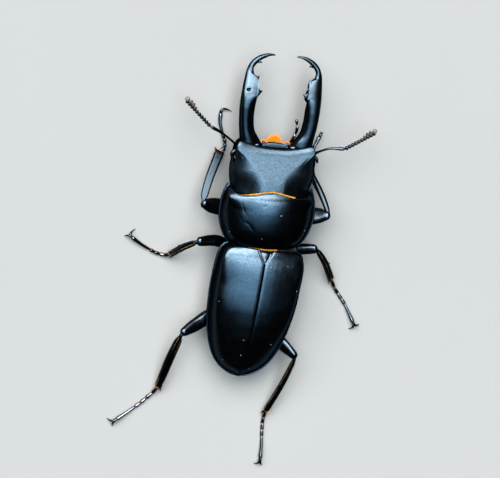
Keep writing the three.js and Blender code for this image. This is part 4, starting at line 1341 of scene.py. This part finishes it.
def claw_shapes(leg):
    """Two hooks that leave the foot straight on and curve out and down, with a stub between."""
    points = foot_points(leg)
    ahead = unit((points[5] - points[4]) * np.array([1, 1, 0]))
    root = points[5] - ahead * 0.08
    t = gathered(22)[:, None]
    girth = girths(22, [0, 0.2, 0.6, 1], [0.46, 0.42, 0.28, 0.06])
    shapes = []
    for degrees, length in leg["claws"]:
        control = root + ahead * 0.7 * length + UP * 0.25
        tip = root + plan_heading(degrees) * length
        tip[2] = 0.08
        path = root * (1 - t) ** 2 + control * 2 * t * (1 - t) + tip * t**2
        shapes.append(limb(path, girth, girth * 1.15, 14))
    return shapes + [spine(root, root + ahead * 0.4 - UP * 0.12, 0.18)]


def coxa_shapes(kind, sign, leg):
    """Hip knuckle set in the underside, and the small joint between it and the thigh."""
    x, y, z = COXAE[kind]["centre"]
    hip = np.array(leg["hip"]) + np.array([-sign * 0.15, 0, 0])
    knuckle = ellipsoid((sign * x, y, z), COXAE[kind]["radii"], 40, 26)
    return [knuckle, ellipsoid(hip, (0.75, 0.62, 0.55), 24, 16)]


for key, leg in LEGS.items():
    kind, side = key.split("_")
    shin = FORE_SHIN if kind == "fore" else LIMB
    build(f"coxa_{key}_knuckle", coxa_shapes(kind, SIDES[side], leg), JOINT, [f"coxa_{key}"])
    build(f"femur_{key}_thigh", [femur_shape(leg)], LIMB, [f"femur_{key}"])
    build(f"tibia_{key}_shin", tibia_shapes(kind, leg), shin, [f"tibia_{key}"])
    build(f"foot_{key}_joints", foot_shapes(leg), TARSUS, [f"foot_{key}"])
    build(f"claws_{key}_hooks", claw_shapes(leg), LIMB, [f"claws_{key}"])

# ---------------- bristle groups


def brush_bristles():
    """Orange brush of the mouth, and the fringe round the labrum."""
    group = Bristles(SEED)
    random = group.random
    x = random.uniform(-1.3, 1.15, 700)
    clumps = 1 + 0.12 * np.sin(x * 9.0 + 1.0) + 0.08 * np.sin(x * 23.0)
    reach = 1.14 * clumps * np.clip(1 - np.abs((x + 0.16) / 1.3) ** 1.3, 0.02, 1) ** 0.85
    roots = np.stack([x, np.full_like(x, 16.3), random.uniform(4.9, 5.5, 700)], axis=-1)
    lies = np.stack([x * 0.25, np.ones_like(x), random.uniform(-0.05, 0.12, 700)], axis=-1)
    group.add(placed(roots, FRONT), lies, reach, 0.055, 0.12)
    for side in (-1, 1):
        y = random.uniform(15.2, 16.35, 140)
        roots = np.stack([np.full_like(y, side * 2.1), y, np.full_like(y, 5.45)], axis=-1)
        group.add(placed(roots, FRONT), (side * 0.7, 0.9, 0.1), 0.32, 0.05, 0.2)
        x = random.uniform(1.2, 2.1, 110) * side
        roots = np.stack([x, labrum_reach(np.abs(x)) - 0.1, np.full_like(x, 5.3)], axis=-1)
        group.add(placed(roots, FRONT), (0, 1, 0.1), 0.28, 0.05, 0.2)
    return group


def collar_bristles():
    """Dense orange fringes at the front and hind edges of the pronotum."""
    group = Bristles(SEED + 1)
    x = np.sort(group.random.uniform(-5.3, 3.6, 1500))
    y = pronotum_front(np.abs(x)) - 0.12
    lift = pronotum_level(x, y, pronotum_half(1.0)) - 0.12
    reach = 0.27 * mix(0.4, 1.0, smooth(-5.3, -2.6, x))
    roots = np.stack([x, y, lift], axis=-1)
    group.add(placed(roots, FRONT), (0.02, 1, -0.05), reach, 0.05, 0.06, 0.01)
    x = np.sort(group.random.uniform(-2.7, 1.9, 200))
    roots = np.stack([x, np.full_like(x, -0.36), np.full_like(x, 7.9)], axis=-1)
    group.add(placed(roots, FRONT), (0, -0.85, 0.42), 0.36, 0.04, 0.15, 0.02)
    return group


def add_foot_tufts(group, leg, joints):
    """Small tufts under both sides of the first foot joints, near their far ends."""
    previous = np.array(leg["ankle"])
    for point in foot_points(leg)[:joints]:
        way = unit(point - previous)
        across = unit(np.cross(way, UP))
        for turn in (-1, 1):
            root = previous + (point - previous) * 0.85 + across * turn * 0.18 - UP * 0.1
            lies = way * 0.9 + across * turn * 0.6 - UP * 0.25
            group.add(np.repeat(root[None], 9, axis=0), lies, 0.30, 0.04, 0.2, 0.03)
        previous = point


def leg_bristles():
    """Golden rows on the shins, and orange tufts at their ends and under the foot joints."""
    gold, orange = Bristles(SEED + 2), Bristles(SEED + 3)
    for key, leg in LEGS.items():
        coat = SHIN_COATS[key.split("_")[0]]
        path = tibia_path(leg)
        ahead, side, lift = tibia_frame(path)
        for way, height in coat["rows"]:
            k = gold.random.integers(12, TIBIA_ROWS - 4, coat["count"])
            width = np.interp(gathered(TIBIA_ROWS)[k], [0, 0.5, 1], [0.6, 0.95, 1.35])[:, None]
            roots = path[k] + side[k] * way * width * 0.9 + lift[k] * height * 0.85
            lies = ahead[k] * 1.6 + side[k] * way * 0.9 + lift[k] * height * 0.4
            gold.add(roots, lies, coat["reach"], 0.035, 0.1)
        count = 46
        k = orange.random.integers(TIBIA_ROWS - 7, TIBIA_ROWS - 2, count)
        aside = orange.random.uniform(-0.62, 0.62, count)[:, None]
        orange.add(path[k] + side[k] * aside, ahead[k] + side[k] * aside * 0.6, 0.42, 0.045, 0.2)
        add_foot_tufts(orange, leg, coat["tufts"])
    return gold, orange


def club_bristles():
    """Fine golden down on the leaves of the feelers."""
    group = Bristles(SEED + 4)
    for side, front_side in SIDES.items():
        _, leaves = flagellum_shapes(ANTENNAE[side], front_side)
        for points, _ in leaves:
            body = points[:-2].reshape(LEAF_ROWS, LEAF_SIDES, 3)[5:15].reshape(-1, 3)
            picked = body[group.random.choice(len(body), 8)]
            group.add(picked, unit(picked - points.mean(axis=0)), 0.09, 0.022, 0.3)
    return group


gold_rows, orange_tufts = leg_bristles()
grow("mouth_brush", brush_bristles(), ORANGE, bend=0.25)
grow("collar_fringe", collar_bristles(), AMBER, bend=0.1)
grow("shin_bristles", gold_rows, GOLD, bend=0.35, sides=3)
grow("tarsus_tufts", orange_tufts, (ORANGE[0], "limbs"), bend=0.3, sides=3)
grow("club_down", club_bristles(), GOLD, bend=0.2, sides=3)

# ---------------- studio

# All in metres: half the floor's side, the height of the softboxes, and where their tiles meet.
FLOOR_HALF = 12.0
CEILING = 2.5
TILE_SIDES = (-1.6, -1.1, -0.5, 0.0, 0.62, 0.9)
# Each row of tiles: rear, front, tint, and the radiance of its tiles from left to right.
TILE_ROWS = (
    (0.10, 0.75, (0.83, 0.94, 1.0), (4.5, 9.0, 12.0, 13.6, 5.5)),
    (-0.40, 0.10, (0.56, 0.82, 1.0), (0, 3.6, 5.0, 5.6, 2.2)),
    (-0.70, -0.40, (0.45, 0.75, 1.0), (0, 1.4, 2.2, 2.6, 0.9)),
    (-1.05, -0.70, (0.45, 0.75, 1.0), (0, 0.5, 0.8, 0.8, 0)),
)
# Where the camera looks, the way from there to it, how far off it is and how wide it sees, all in
# the beetle's own axes and millimetres, and its roll in degrees.
CAMERA = {
    "target": (-2.0406, 0.3630, 5.4652), "toward": (-0.21131, 0.21644, 0.95317), "distance": 330.0,
    "roll": 9.5, "view_width": 79.0,
}


def add_camera():
    """Looks down on the beetle from a little ahead of it and to its left."""
    toward = Vector(CAMERA["toward"]).normalized()
    target = Vector(to_frame(CAMERA["target"]))
    ahead = Vector((0, 1, 0))
    upright = (ahead - toward * ahead.dot(toward)).normalized()
    roll = math.radians(CAMERA["roll"])
    up = upright * math.cos(roll) - (-toward).cross(upright) * math.sin(roll)
    data = bpy.data.cameras.new("camera")
    data.sensor_width = 36.0
    data.lens = data.sensor_width * CAMERA["distance"] / CAMERA["view_width"]
    data.clip_start = 0.005
    camera = stand("camera", data)
    turn = Matrix(((-toward).cross(up), up, toward)).transposed().to_4x4()
    camera.matrix_world = Matrix.Translation(target + toward * CAMERA["distance"] * MM) @ turn
    bpy.context.scene.camera = camera


def add_ceiling():
    """Softbox ceiling in tiles, seen from above: brighter ahead and to the right, dim behind."""
    for row, (rear, front, tint, radiances) in enumerate(TILE_ROWS):
        for column, radiance in enumerate(radiances):
            if radiance == 0:
                continue
            left, right = TILE_SIDES[column:column + 2]
            light = bpy.data.lights.new(f"tile_{row}_{column}", "AREA")
            light.shape = "RECTANGLE"
            light.size, light.size_y = right - left, front - rear
            light.energy = radiance * math.pi * light.size * light.size_y
            light.color = tint
            stand(light.name, light).location = ((left + right) / 2, (rear + front) / 2, CEILING)


def add_round_light(name, direction, angle, radiance, tint):
    """Soft round light, far off in that direction."""
    light = bpy.data.lights.new(name, "SUN")
    light.angle = math.radians(angle)
    light.energy = radiance * math.pi * math.sin(light.angle / 2) ** 2
    light.color = tint
    stand(name, light).rotation_euler = Vector(direction).to_track_quat("Z", "Y").to_euler()


def add_floor():
    half = FLOOR_HALF
    corners = [(-half, -half, 0), (half, -half, 0), (half, half, 0), (-half, half, 0)]
    mesh = bpy.data.meshes.new("floor")
    mesh.from_pydata(corners, [], [(0, 1, 2, 3)])
    mesh.materials.append(floor_finish("studio_floor"))
    floor = stand("floor", mesh)


def add_world():
    """Pale low backdrop that darkens overhead, so that gloss shows the softboxes."""
    world = bpy.data.worlds.new("studio")
    world.use_nodes = True
    graph = Graph(world.node_tree)
    heading = graph.add("ShaderNodeTexCoord").outputs["Generated"]
    height = graph.add("ShaderNodeSeparateXYZ", Vector=heading).outputs["Z"]
    level = graph.add(
        "ShaderNodeMapRange", {"interpolation_type": "SMOOTHSTEP"}, Value=height,
        From_Min=0.0, From_Max=0.15, To_Min=0.40, To_Max=0.01,
    )
    background = {"Strength": level.outputs["Result"], "Color": (0.93, 0.96, 1.0)}
    graph.fill(world.node_tree.nodes["Background"], background)
    bpy.context.scene.world = world


add_camera()
add_floor()
add_world()
add_round_light("front_light", (-0.07, 0.62, 0.782), 38, 15.0, (0.96, 0.98, 1.0))
add_round_light("shoulder_light", (-0.56, 0.46, 0.69), 40, 11.0, (0.93, 0.97, 1.0))
add_ceiling()
bpy.context.scene.view_settings.view_transform = "Standard"
bpy.context.scene.view_settings.look = "Medium High Contrast"
